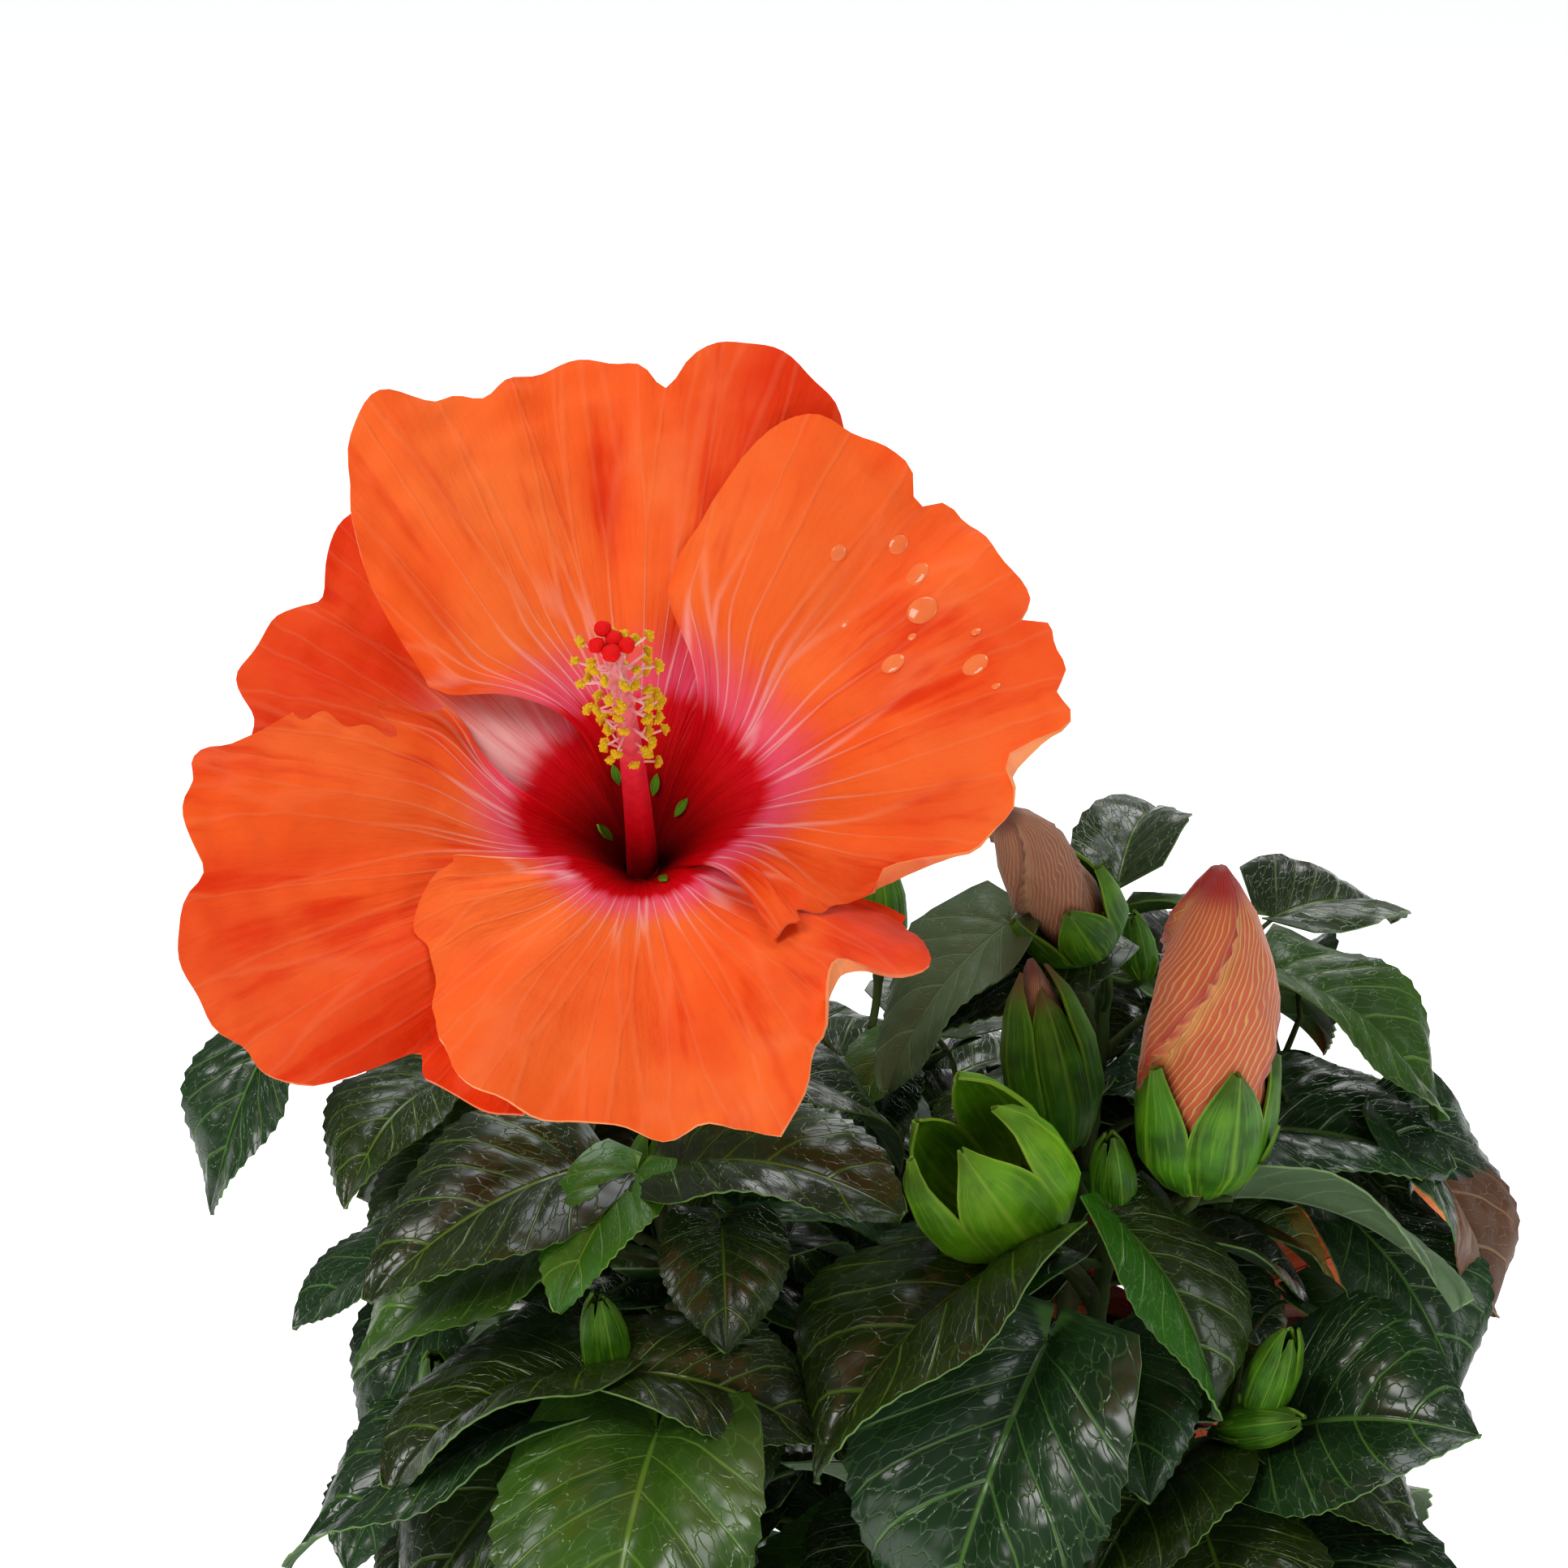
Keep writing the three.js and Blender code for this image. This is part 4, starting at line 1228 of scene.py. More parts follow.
@dataclass(frozen=True)
class Bud:
    """A flower bud: where its stalk stands, its aim, its size and what it shows."""

    mass: Mass
    shoot: int
    level: float
    stalk: Triple
    aim: tuple[float, float]
    length: float
    cup: float
    roll: float = 0
    open: float = 0
    brown: bool = False

    def form(self) -> SepalForm:
        """How its sepals stand.

        Returns:
            The form.
        """
        if self.open:
            return SepalForm.OPEN
        return SepalForm.ROUND if self.roll else SepalForm.CLOSED

    def stand(self, foot: np.ndarray) -> Stand:
        """Where the bud's cup sits on its stalk, and its axis."""
        return Stand.along(foot + heading(*self.stalk[:2]) * self.stalk[2], heading(*self.aim))

    def stem(self, foot: np.ndarray) -> Curve:
        """Line of its stalk."""
        stand = self.stand(foot)
        return Curve(foot, stand.origin - stand.out * self.stalk[2] * 0.45, stand.origin + stand.out * 1.5)

    def foot(self) -> np.ndarray:
        """Where its stalk leaves its shoot."""
        return CURVES[self.mass][self.shoot].point(self.level)

    def girth(self, share: np.ndarray, angle: np.ndarray) -> np.ndarray:
        """Radius rule of its coarse body."""
        return max(self.cup, self.roll) * np.interp(share, (0, 0.2, 0.5, 1), (0.4, 1, 0.95, 0.1))


BUDS = (
    Bud(Mass.FRONT_RIGHT, 0, 1, (-27, 38, 22), (-61, 88), 62, 10.5, roll=11),
    Bud(Mass.FRONT_RIGHT, 0, 1, (128, 44, 18), (161, 79), 33, 8, brown=True),
    Bud(Mass.FRONT_RIGHT, 0, 0.93, (-140, 36, 23), (-150, 55), 31, 12, open=1),
    Bud(Mass.FRONT_RIGHT, 0, 0.99, (-88, 48, 12), (-108, 76), 17, 3.6),
    Bud(Mass.BACK_RIGHT, 0, 0.95, (-102, 51, 27), (-150, 56), 38, 8, roll=7, brown=True),
    Bud(Mass.BACK_RIGHT, 0, 1, (-46, 21, 10), (180, 80), 12, 2.6),
    Bud(Mass.RIGHT, 0, 1, (-68, 42, 14), (-40, 72), 20, 4),
    Bud(Mass.RIGHT, 0, 0.98, (-98, 38, 14), (-26, 21), 15, 3.4),
    Bud(Mass.FRONT_LEFT, 1, 1, (-80, 42, 8), (-125, 81), 16, 3.6),
    Bud(Mass.FRONT_LEFT, 0, 0.94, (132, 10, 8), (-76, 68), 13, 3.4),
    Bud(Mass.BACK_LEFT, 0, 1, (150, 50, 16), (150, 76), 30, 7),
    Bud(Mass.BACK, 0, 1, (80, 50, 14), (100, 74), 22, 5),
    Bud(Mass.LEFT, 0, 1, (262, 45, 10), (250, 70), 15, 3.6),
)


def shoot_curves(mass: Mass) -> list[Curve]:
    """Lines of a mass's shoots; the first grows on from its bough's tip.

    Args:
        mass: Mass it belongs to.

    Returns:
        A line for each shoot.
    """
    curves: list[Curve] = []
    for shoot in SHOOTS[mass]:
        foot = curves[0].point(shoot.level) if curves else BOUGHS[mass].tip
        curves.append(Curve(foot, np.array(shoot.bend, float), np.array(shoot.tip, float)))
    return curves


CURVES = {mass: shoot_curves(mass) for mass in Mass}


@dataclass(frozen=True)
class Sprig:
    """A fine side twig with a few small leaves, grown where the large leaves leave room."""

    mass: Mass
    curve: Curve
    leaves: tuple[Leaf, ...]


@dataclass
class Thicket:
    """Grows every mass's leaves by the solids' rule, then finer sprigs in the room left."""

    berth: float = 0.8
    shoot_radii: tuple[float, float, float] = (2.5, 1.9, 1.4)
    petiole_radius: float = 0.85
    petiole_start: float = 0.12
    lens_rings: int = 3
    first_level: float = 0.04
    level_span: float = 0.9
    cool_share: float = 0.3
    dark_share: float = 0.88
    looks_seed: int = 500
    sprig_seed: int = 900
    sprigs_per_shoot: int = 30
    sprigs_per_bough: int = 12
    sprig_leaves: int = 4
    sprig_length: tuple[float, float] = (12.0, 30.0)
    sprig_leaf: tuple[float, float] = (22.0, 42.0)
    heart_radius: float = 62
    heart_top: float = 170
    heart_size: float = 1.35
    sprig_levels: tuple[float, float] = (0.12, 0.82)
    sprig_fan: float = 62
    gap_low: Triple = (42, -10, 120)
    gap_high: Triple = (math.inf, 60, 200)
    leaves: list[Leaf] = field(default_factory=list)
    sprigs: list[Sprig] = field(default_factory=list)

    def __post_init__(self) -> None:
        """Makes the coarse shapes that leaves keep clear of."""
        self.lens = Template.lens(self.lens_rings)
        self.rod = Template.tube(5, 5)
        self.knots = {m: np.concatenate([c.at(np.linspace(0, 1, 7)) for c in CURVES[m]]) for m in Mass}
        self.fixed = [self.solid_hull(name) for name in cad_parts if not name.startswith("foliage")]
        self.twigs = {mass: self.twig_hulls(mass) for mass in Mass}
        self.blades: list[tuple[Mass, Hull, Hull]] = []

    @staticmethod
    def solid_hull(name: str) -> Hull:
        """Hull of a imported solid.

        Args:
            name: Name of its node.

        Returns:
            Hull of its mesh.
        """
        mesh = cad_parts[name].data
        points = np.array([vertex.co[:] for vertex in mesh.vertices]) / MM
        return Hull(points, [tuple(face.vertices) for face in mesh.polygons])

    def twig_hulls(self, mass: Mass) -> list[Hull]:
        """Hulls of a mass's shoots, with their berth, and of its buds.

        Args:
            mass: Mass it belongs to.

        Returns:
            Hulls of the shoots, then of the buds.
        """
        foot, side_foot, tip = self.shoot_radii
        hulls = []
        for index, curve in enumerate(CURVES[mass]):
            radius = tapered((side_foot if index else foot) + self.berth, tip + self.berth)
            hulls.append(Hull(tube_points(self.rod, curve, radius), self.rod.faces))
        for bud in BUDS:
            if bud.mass is mass:
                stand = bud.stand(bud.foot())
                reach = stand.out * bud.length
                body = Curve(stand.origin, stand.origin + reach / 2, stand.origin + reach)
                hulls.append(Hull(tube_points(self.rod, body, bud.girth), self.rod.faces))
        return hulls

    def hulls_of(self, leaf: Leaf) -> tuple[Hull, Hull]:
        """Coarse blade, and coarse blade with its petiole, both with their berth.

        Args:
            leaf: Leaf in question.

        Returns:
            Hull of the blade, and of the whole leaf.
        """
        own, rings = self.lens.own, self.lens_rings
        ring = np.round(np.arccos(np.clip(own[:, 2], -1, 1)) / np.pi * rings)
        width = np.maximum(np.sin(ring * np.pi / rings), 1e-6)
        pole = (ring == 0) | (ring == rings)
        v = np.where(pole, 0, np.round(own[:, 0] / width))
        side = np.where(pole, 0, np.round(own[:, 1] / width))
        lift = side * (LEAF_RULE.thickness / 2 + self.berth)
        blade = leaf.coarse(ring / rings, v, lift)
        petiole = Curve(leaf.foot, (leaf.foot + leaf.base) / 2, leaf.base)
        start = petiole.point(self.petiole_start)
        line = Curve(start, (start + leaf.base) / 2, leaf.base)
        thick = self.petiole_radius + self.berth
        stick = tube_points(self.rod, line, tapered(thick, thick))
        faces = self.lens.faces + [tuple(i + len(blade) for i in face) for face in self.rod.faces]
        return Hull(blade, self.lens.faces), Hull(np.concatenate([blade, stick]), faces)

    def keeps_to_space(self, leaf: Leaf) -> bool:
        """Whether a blade is nearer to its own mass's shoots than to any other's.

        Args:
            leaf: Leaf in question.

        Returns:
            True if it keeps to its own space.
        """
        u = np.array([0, 0.3, 0.3, 0.6, 0.6, 0.5, 1])
        v = np.array([0, -1, 1, -1, 1, 0, 0])
        points = leaf.coarse(u, v, np.zeros(7))
        if points[:, 0].min() < LEAF_RULE.crown_left or points[:, 0].max() > LEAF_RULE.crown_right:
            return False
        reach = {
            mass: np.linalg.norm(points[:, None] - knots[None], axis=2).min(axis=1)
            for mass, knots in self.knots.items()
        }
        own = reach.pop(leaf.mass)
        return all((own < other + LEAF_RULE.overhang).all() for other in reach.values())

    def has_room(self, leaf: Leaf, blade: Hull, whole: Hull) -> bool:
        """Whether a leaf is clear of limbs, twigs, buds, blossoms and standing leaves.

        Args:
            leaf: Leaf in question.
            blade: Hull of its blade.
            whole: Hull of its blade and petiole.

        Returns:
            True if it has room.
        """
        if any(blade.touches(hull) for hull in self.fixed) or whole.touches(self.fixed[0]):
            return False
        for mass, hulls in self.twigs.items():
            own = mass is leaf.mass
            if any((blade if own else whole).touches(hull) for hull in hulls):
                return False
        for mass, other_blade, other_whole in self.blades:
            if mass is leaf.mass:
                if blade.touches(other_blade):
                    return False
            elif whole.touches(other_whole):
                return False
        return True

    def keep(self, leaf: Leaf, blade: Hull, whole: Hull) -> None:
        """Lets a leaf stand."""
        self.leaves.append(leaf)
        self.blades.append((leaf.mass, blade, whole))

    def grow(self) -> None:
        """Grows the leading leaves, then the seeded ones of every mass."""
        for mass in Mass:
            for row in LEADING_LEAVES[mass]:
                leaf = Leaf.posed(mass, row, CURVES[mass][row.shoot].point(row.level))
                self.keep(leaf, *self.hulls_of(leaf))
        for mass in Mass:
            dice = Dice(SEEDS[mass])
            looks = Dice(SEEDS[mass] + self.looks_seed)
            for index, shoot in enumerate(SHOOTS[mass]):
                for i in range(shoot.leaves):
                    level = self.first_level + self.level_span * (i + 0.5) / shoot.leaves
                    row = LEAF_RULE.grown(index, level, shoot.turn + i * GOLDEN_TURN, dice)
                    self.try_row(mass, row, looks.within(0, 1))
        LOG.info("grown leaves: %d", len(self.leaves))

    def try_row(self, mass: Mass, row: LeafRow, chance: float) -> None:
        """Stands the first try of a row that has room.

        Args:
            mass: Mass it belongs to.
            row: Row it is made from.
            chance: Random share that picks its look.
        """
        plain = Look.FRESH if chance > self.dark_share else Look.DARK
        look = Look.COOL if chance < self.cool_share else plain
        for by, size in TRIES:
            changed = row.changed(by, size)
            leaf = Leaf.posed(mass, changed, CURVES[mass][row.shoot].point(row.level))
            if not self.keeps_to_space(leaf):
                continue
            blade, whole = self.hulls_of(leaf)
            if self.has_room(leaf, blade, whole):
                dressed = replace(leaf, row=replace(changed, look=look))
                self.keep(dressed, blade, whole)
                return

    def inside(self, leaf: Leaf) -> bool:
        """Whether a small leaf stays within its mass's reach.

        Args:
            leaf: Leaf in question.

        Returns:
            True if it stays inside.
        """
        low, high = (np.array(corner[:]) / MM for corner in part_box(f"foliage_{leaf.mass.value}"))
        points = leaf.coarse(np.array([0, 0.5, 0.5, 1]), np.array([0, -1, 1, 0]), np.zeros(4))
        return bool((points > low).all() and (points < high).all())

    def grow_sprigs(self) -> None:
        """Grows fine side twigs with small leaves in the room that is left."""
        for mass in Mass:
            dice = Dice(SEEDS[mass] + self.sprig_seed)
            first, span = self.sprig_levels
            for curve in (*CURVES[mass], BOUGHS[mass]):
                count = self.sprigs_per_bough if curve is BOUGHS[mass] else self.sprigs_per_shoot
                for i in range(count):
                    level = first + span * (i + dice.within(0.2, 0.8)) / count
                    turn = dice.within(0, 360)
                    self.try_sprig(mass, curve.point(level), turn, dice)
        LOG.info("sprigs: %d with %d leaves", len(self.sprigs), sum(len(s.leaves) for s in self.sprigs))

    def before_back_blossom(self, place: np.ndarray) -> bool:
        """Whether a place lies in the gap through which the lower blossom is seen from the front."""
        return bool((place > self.gap_low).all() and (place < self.gap_high).all())

    @staticmethod
    def sprig_row(turn: float, rise: float, size: float, dice: Dice) -> LeafRow:
        """Row of one small leaf of a sprig.

        Args:
            turn: Turn about the axis, in degrees.
            rise: Rise above the level, in degrees.
            size: Length of its blade.
            dice: Source of random numbers.

        Returns:
            The row.
        """
        return LeafRow(
            shoot=0, level=0, turn=turn,
            rise=rise + dice.within(-12, 20), petiole=size * dice.within(0.25, 0.5),
            blade_turn=turn + dice.within(-20, 20), pitch=dice.within(-40, 5), length=size,
            width=size * dice.within(0.6, 0.72), arch=dice.within(35, 65), roll=dice.within(-16, 16),
            look=Look.FRESH if dice.within(0, 1) > 0.7 else Look.DARK,
        )

    def try_sprig(self, mass: Mass, foot: np.ndarray, turn: float, dice: Dice) -> None:
        """Stands one sprig if at least one of its leaves has room.

        Args:
            mass: Mass it belongs to.
            foot: Place it starts from.
            turn: Turn about the axis, in degrees.
            dice: Source of random numbers.
        """
        length = dice.within(*self.sprig_length)
        rise = dice.within(5, 45)
        tip = foot + heading(turn, rise) * length
        if tip[1] < foot[1] and foot[1] < 20:
            return
        bend = (foot + tip) / 2 + np.array([0, 0, -0.12 * length])
        curve = Curve(foot, bend, tip)
        hidden = math.hypot(foot[0], foot[1]) < self.heart_radius and foot[2] < self.heart_top
        kept = []
        for i in range(self.sprig_leaves):
            size = dice.within(*self.sprig_leaf) * (self.heart_size if hidden else 1)
            leaf_turn = turn + (i - (self.sprig_leaves - 1) / 2) * self.sprig_fan + dice.within(-14, 14)
            row = self.sprig_row(leaf_turn, rise, size, dice)
            leaf = Leaf.posed(mass, row, curve.point(1 - 0.22 * (i % 2)))
            end = leaf.spine(np.array([1.0]))[0][0]
            if end[1] < min(foot[1], 10) or self.before_back_blossom(end):
                continue
            blade, whole = self.hulls_of(leaf)
            room = hidden or self.has_room(leaf, blade, whole)
            if self.inside(leaf) and self.keeps_to_space(leaf) and room:
                kept.append(leaf)
                self.blades.append((mass, blade, whole))
        if kept:
            self.sprigs.append(Sprig(mass, curve, tuple(kept)))


# ------------------------------------------------------------------ leaves, petioles and twigs


@dataclass
class BladeShape:
    """Fine shape of a leaf blade over the rule's plain one."""

    rows: int = 42
    columns: int = 12
    thickness: float = 0.38
    laterals: int = 6
    tooth_rows: int = 3
    tooth: float = 0.85
    quilt: float = 0.013
    groove: float = 0.009
    heart: float = 0.15
    wave: float = 0.048
    bumps: float = 0.012
    fold: float = 26
    vein_start: float = 2.1
    vein_end: float = 0.72

    @staticmethod
    def outline(u: np.ndarray) -> np.ndarray:
        """Half width of the fine blade: the rule's, with a rounder shoulder and a blunter tip."""
        inner = np.clip(u, 1e-6, 1 - 1e-6)
        return np.sin(np.pi * inner**0.66) ** (0.58 + 0.3 * inner**2) * ((u > 0) & (u < 1))

    def points(self, template: Template, leaf: Leaf, dice: Dice) -> np.ndarray:
        """Places a sheet as a serrate, veined, slightly heart-shaped blade.

        Args:
            template: a sheet whose rows become lines along the side veins.
            leaf: the leaf.
            dice: gives the blade its own waves.

        Returns:
            One point for each vertex.
        """
        across, share = template.spread()
        out = np.abs(across)
        length, width = leaf.row.length, leaf.row.width
        u = lerp(share**self.vein_start, share**self.vein_end, out)
        middle, normal = leaf.spine(u)
        row = np.round(share * self.rows)
        saw = (row % self.tooth_rows) / (self.tooth_rows - 1)
        margin = out**10 * smooth(0.16, 0.34, u) * smooth(1.0, 0.9, u)
        tooth = self.tooth * length / 50 * (saw - 0.5) * margin
        half = width / 2 * self.outline(u) * out + tooth + lerp(0.8, 0.12, u**0.3) * out
        fold = np.radians(self.fold * (1.25 - 0.8 * out))
        spread = dice.within(0.8, 1.5)
        phase = dice.within(0, FULL_TURN) + np.where(across > 0, 0.0, dice.within(1.5, 4.5))
        wave = self.wave * length * out**2 * np.sin(2 * np.pi * spread * u + phase) * smooth(0, 0.2, u)
        quilt = np.abs(np.sin(np.pi * share * self.laterals)) ** 0.7
        body = smooth(0.03, 0.3, out) * (1 - 0.75 * out**3) * smooth(0.02, 0.12, share)
        ladder = 0.8 + 0.2 * np.cos(2 * np.pi * 3.5 * out + row)
        relief = self.quilt * length * quilt * body * ladder
        relief = relief - self.groove * length * np.exp(-((out / 0.05) ** 2)) * smooth(1, 0.8, share)
        blister = np.sin(9 * u + 5 * across + 2 * phase) * np.cos(7 * across - 6 * u + phase)
        relief = relief + self.bumps * length * blister * body
        back = self.heart * length * np.exp(-(((u - 0.06) / 0.1) ** 2)) * out**1.5
        lateral = np.sign(across) * half * np.cos(fold)
        rise = half * np.sin(fold) + wave + relief
        return middle - np.outer(back, leaf.forward) + np.outer(lateral, leaf.side) + normal * rise[:, None]


@dataclass
class Foliage:
    """Dresses one mass: its blades, and its shoots, petioles, sprigs and stipules."""

    mass: Mass
    thicket: Thicket
    large: Template
    small: Template
    stem: Template
    hair: Template
    shape: BladeShape
    small_shape: BladeShape

    @staticmethod
    def looks(template: Template, leaf: Leaf) -> np.ndarray:
        """Slot of each face: a leaf may be brighter green on one half of its blade, or withered from its
        tip.

        Args:
            template: Sheet it is made from.
            leaf: Leaf in question.

        Returns:
            Slot numbers, one for each face.
        """
        across, along = template.middles[:, 0], template.middles[:, 1]
        look = leaf.row.look
        if look is Look.HALF_YOUNG:
            return 3 * np.where(across < 0, Look.DARK.value, look.value)
        if look is Look.WITHERED:
            return 3 * np.where(along + 0.5 * np.abs(across) < 0.3, Look.COOL.value, look.value)
        return np.full(len(across), 3 * look.value)

    def blades(self, materials: list[bpy.types.Material]) -> None:
        """All blades of the mass as one piece.

        Args:
            materials: Materials of its slots, in order.
        """
        piece = Piece(f"leaves_{self.mass.value}")
        dice = Dice(SEEDS[self.mass] + 300)
        for leaf in self.thicket.leaves:
            if leaf.mass is self.mass:
                points = self.shape.points(self.large, leaf, dice)
                piece.add(self.large, points, self.looks(self.large, leaf), tone=dice.within(0, 1))
        for sprig in self.thicket.sprigs:
            if sprig.mass is self.mass:
                for leaf in sprig.leaves:
                    points = self.small_shape.points(self.small, leaf, dice)
                    piece.add(self.small, points, self.looks(self.small, leaf), tone=dice.within(0, 1))
        made = piece.build(materials, "foliage", [f"foliage_{self.mass.value}"])
        give_thickness(made, self.shape.thickness, under=1, rim=2)

    def twigs(self, material: bpy.types.Material) -> None:
        """Shoots, petioles and sprigs of the mass as one piece.

        Args:
            material: Its material.
        """
        piece = Piece(f"twigs_{self.mass.value}")
        foot, side_foot, tip = self.thicket.shoot_radii
        own_leaves = [leaf for leaf in self.thicket.leaves if leaf.mass is self.mass]
        for index, curve in enumerate(CURVES[self.mass]):
            levels = np.array([leaf.row.level for leaf in own_leaves if leaf.row.shoot == index])
            radius = self.jointed((side_foot if index else foot), tip, levels)
            youth = np.clip(self.stem.own[:, 2] * 1.1 - 0.1 + 0.25 * index, 0, 1)
            piece.add(self.stem, tube_points(self.stem, curve, radius), youth=youth)
        for leaf in own_leaves:
            self.add_petiole(piece, leaf, 0.95, 0.72)
        for sprig in self.thicket.sprigs:
            if sprig.mass is self.mass:
                piece.add(self.hair, tube_points(self.hair, sprig.curve, tapered(0.95, 0.6)), youth=0.75)
                for leaf in sprig.leaves:
                    self.add_petiole(piece, leaf, 0.6, 0.45)
        for bud in BUDS:
            if bud.mass is self.mass:
                line = bud.stem(bud.foot())
                piece.add(self.hair, tube_points(self.hair, line, self.swollen(0.85, 1.25)), youth=1.0)
        piece.build([material], "foliage", [f"foliage_{self.mass.value}"])

    @staticmethod
    def jointed(foot: float, tip: float, levels: np.ndarray) -> Radius:
        """Radius rule of a shoot that swells a little where each leaf leaves it.

        Args:
            foot: Radius at the foot.
            tip: Radius at the tip.
            levels: Shares at which leaves leave it.

        Returns:
            Rule that gives the radius at a share and angle.
        """

        def radius(share: np.ndarray, angle: np.ndarray) -> np.ndarray:
            """Taper, swellings and a closed tip.

            Args:
                share: Shares of the length, from foot to tip.
                angle: Angles round the axis, in radians; not used.

            Returns:
                Radii in millimetres.
            """
            swell = np.exp(-(((share[:, None] - levels[None]) / 0.012) ** 2)).sum(axis=1)
            close = np.where(share > 0.995, 0.35, 1.0)
            return (lerp(foot, tip, share) + 0.35 * np.minimum(swell, 1)) * close

        return radius

    @staticmethod
    def swollen(foot: float, tip: float) -> Radius:
        """Radius rule of a flower stalk that thickens to its joint and its end."""
        return lambda share, angle: lerp(foot, tip, share**3) + 0.25 * np.exp(-(((share - 0.7) / 0.05) ** 2))

    def add_petiole(self, piece: Piece, leaf: Leaf, foot: float, tip: float) -> None:
        """Adds the stalk of a leaf, which runs on a little way under its midrib.

        Args:
            piece: Piece that takes the shapes.
            leaf: Leaf in question.
            foot: Radius at the foot.
            tip: Radius at the tip.
        """
        end = leaf.base + leaf.forward * 0.8 - leaf.up * 0.35
        pull = leaf.base - leaf.forward * leaf.row.petiole * 0.35
        bend = (pull + (leaf.foot + leaf.base) / 2) / 2
        youth = lerp(0.45, 0.95, self.hair.own[:, 2])
        points = tube_points(self.hair, Curve(leaf.foot, bend, end), tapered(foot, tip))
        piece.add(self.hair, points, youth=youth)


# ------------------------------------------------------------------ flower buds


@dataclass
class BudMaker:
    """Sepals, bracts and rolled petals of every bud."""

    sepal: Template
    bract: Template
    roll: Template
    sepals: int = 5
    bracts: int = 7
    sepal_thickness: float = 0.55

    def add_sepals(self, piece: Piece, bud: Bud, stand: Stand) -> None:
        """Adds the five sepals: fused below, broad and pointed above.

        Args:
            piece: Piece that takes the shapes.
            bud: Bud in question.
            stand: Frame of the bud.
        """
        form = bud.form()
        length = bud.length * form.length
        across, share = self.sepal.spread()
        apart = np.clip((share - form.free) / (1 - form.free), 0, 1)
        narrow = np.maximum(1 - apart**form.shoulder, 0.03)
        for i in range(self.sepals):
            lean = 1 + 0.05 * math.sin(2.3 * i + bud.length)
            angle = 2 * np.pi * i / self.sepals + across * np.pi / self.sepals * 1.06 * narrow
            keel = 1 + 0.1 * (1 - np.abs(across)) * smooth(0, 0.3, share) - 0.05 * np.abs(across) ** 3
            radius = bud.cup * np.interp(share, form.levels, form.radii)
            radius = radius * keel * (1 + (lean - 1) * share) + 0.15 * (i % 2)
            local = polar(radius, angle, share * length * lean)
            dry = smooth(0.8, 0.98, share) * (0.9 if form is SepalForm.CLOSED and bud.brown else 0.15)
            piece.add(self.sepal, stand.place(local), 2 if form is SepalForm.OPEN else 0, dry=dry)

    def add_bracts(self, piece: Piece, bud: Bud, stand: Stand) -> None:
        """Adds the ring of narrow bracts under the cup.

        Args:
            piece: Piece that takes the shapes.
            bud: Bud in question.
            stand: Frame of the bud.
        """
        across, share = self.bract.spread()
        length = max(5.0, bud.length * 0.3)
        for i in range(self.bracts):
            turn = 2 * np.pi * (i + 0.5) / self.bracts
            lean = 0.75 + 0.2 * math.sin(1.7 * i + bud.cup)
            reach = bud.cup * 0.45 + length * (0.62 * lean * share - 0.1 * share**3)
            height = length * (0.1 * share + 0.72 * share**1.6)
            half = 0.085 * length * np.sin(np.pi * np.clip(share * 0.9 + 0.1, 0, 1)) ** 0.6 + 0.05
            local = strip(turn, reach, across * half, height - 0.5 + 0.3 * across**2)
            piece.add(self.bract, stand.place(local), 0, dry=0.1)

    def add_roll(self, piece: Piece, bud: Bud, stand: Stand) -> None:
        """Adds the petals, rolled round each other in a spiral to a closed tip.

        Args:
            piece: Piece that takes the shapes.
            bud: Bud in question.
            stand: Frame of the bud.
        """
        share, angle = self.roll.wrap()
        radii = (0.5, 0.82, 0.98, 1, 0.9, 0.64, 0.34, 0.14)
        profile = np.interp(share, (0, 0.12, 0.3, 0.5, 0.7, 0.85, 0.95, 1), radii)
        lane = (angle / (2 * np.pi) * 3 - share * 1.7) % 1
        fold = 0.3 * (lane - 0.5) * smooth(0.1, 0.4, share)
        girth = bud.roll or bud.cup * 0.52
        length = bud.length * (1 if bud.roll else 1.1)
        radius = girth * profile * (1 + fold + 0.02 * np.sin(9 * angle + 14 * share))
        local = polar(radius, angle, share * length)
        crease = smooth(0.84, 1, lane) * smooth(0.1, 0.3, share)
        hem = 1 - smooth(0.02, 0.2, lane)
        piece.add(self.roll, stand.place(local), 1 if bud.brown else 0, crease=crease, hem=hem)

    def build(self) -> None:
        """Makes the pieces of all buds: green parts and rolled petals."""
        green, rolls = Piece("bud_sepals"), Piece("bud_rolled_petals")
        for bud in BUDS:
            stand = bud.stand(bud.foot())
            self.add_sepals(green, bud, stand)
            self.add_bracts(green, bud, stand)
            if bud.roll or bud.brown:
                self.add_roll(rolls, bud, stand)
        masses = sorted({f"foliage_{bud.mass.value}" for bud in BUDS})
        rolled = sorted({f"foliage_{bud.mass.value}" for bud in BUDS if bud.roll})
        sepal, cup = SEPAL.material(), CUP_SEPAL.material()
        leafy = green.build([sepal, sepal, cup, cup], "foliage", masses)
        give_thickness(leafy, self.sepal_thickness)
        rolls.build([ROLL.material(), BROWN_ROLL.material()], "petal", rolled)


# ------------------------------------------------------------------ blossoms


@dataclass(frozen=True)
class Nick:
    """A notch in a petal's rim."""

    turn: float
    depth: float
    width: float


@dataclass(frozen=True)
class Curl:
    """A stretch of rim that rolls forward and shows its underside."""

    turn: float
    width: float
    start: float
    radius: float


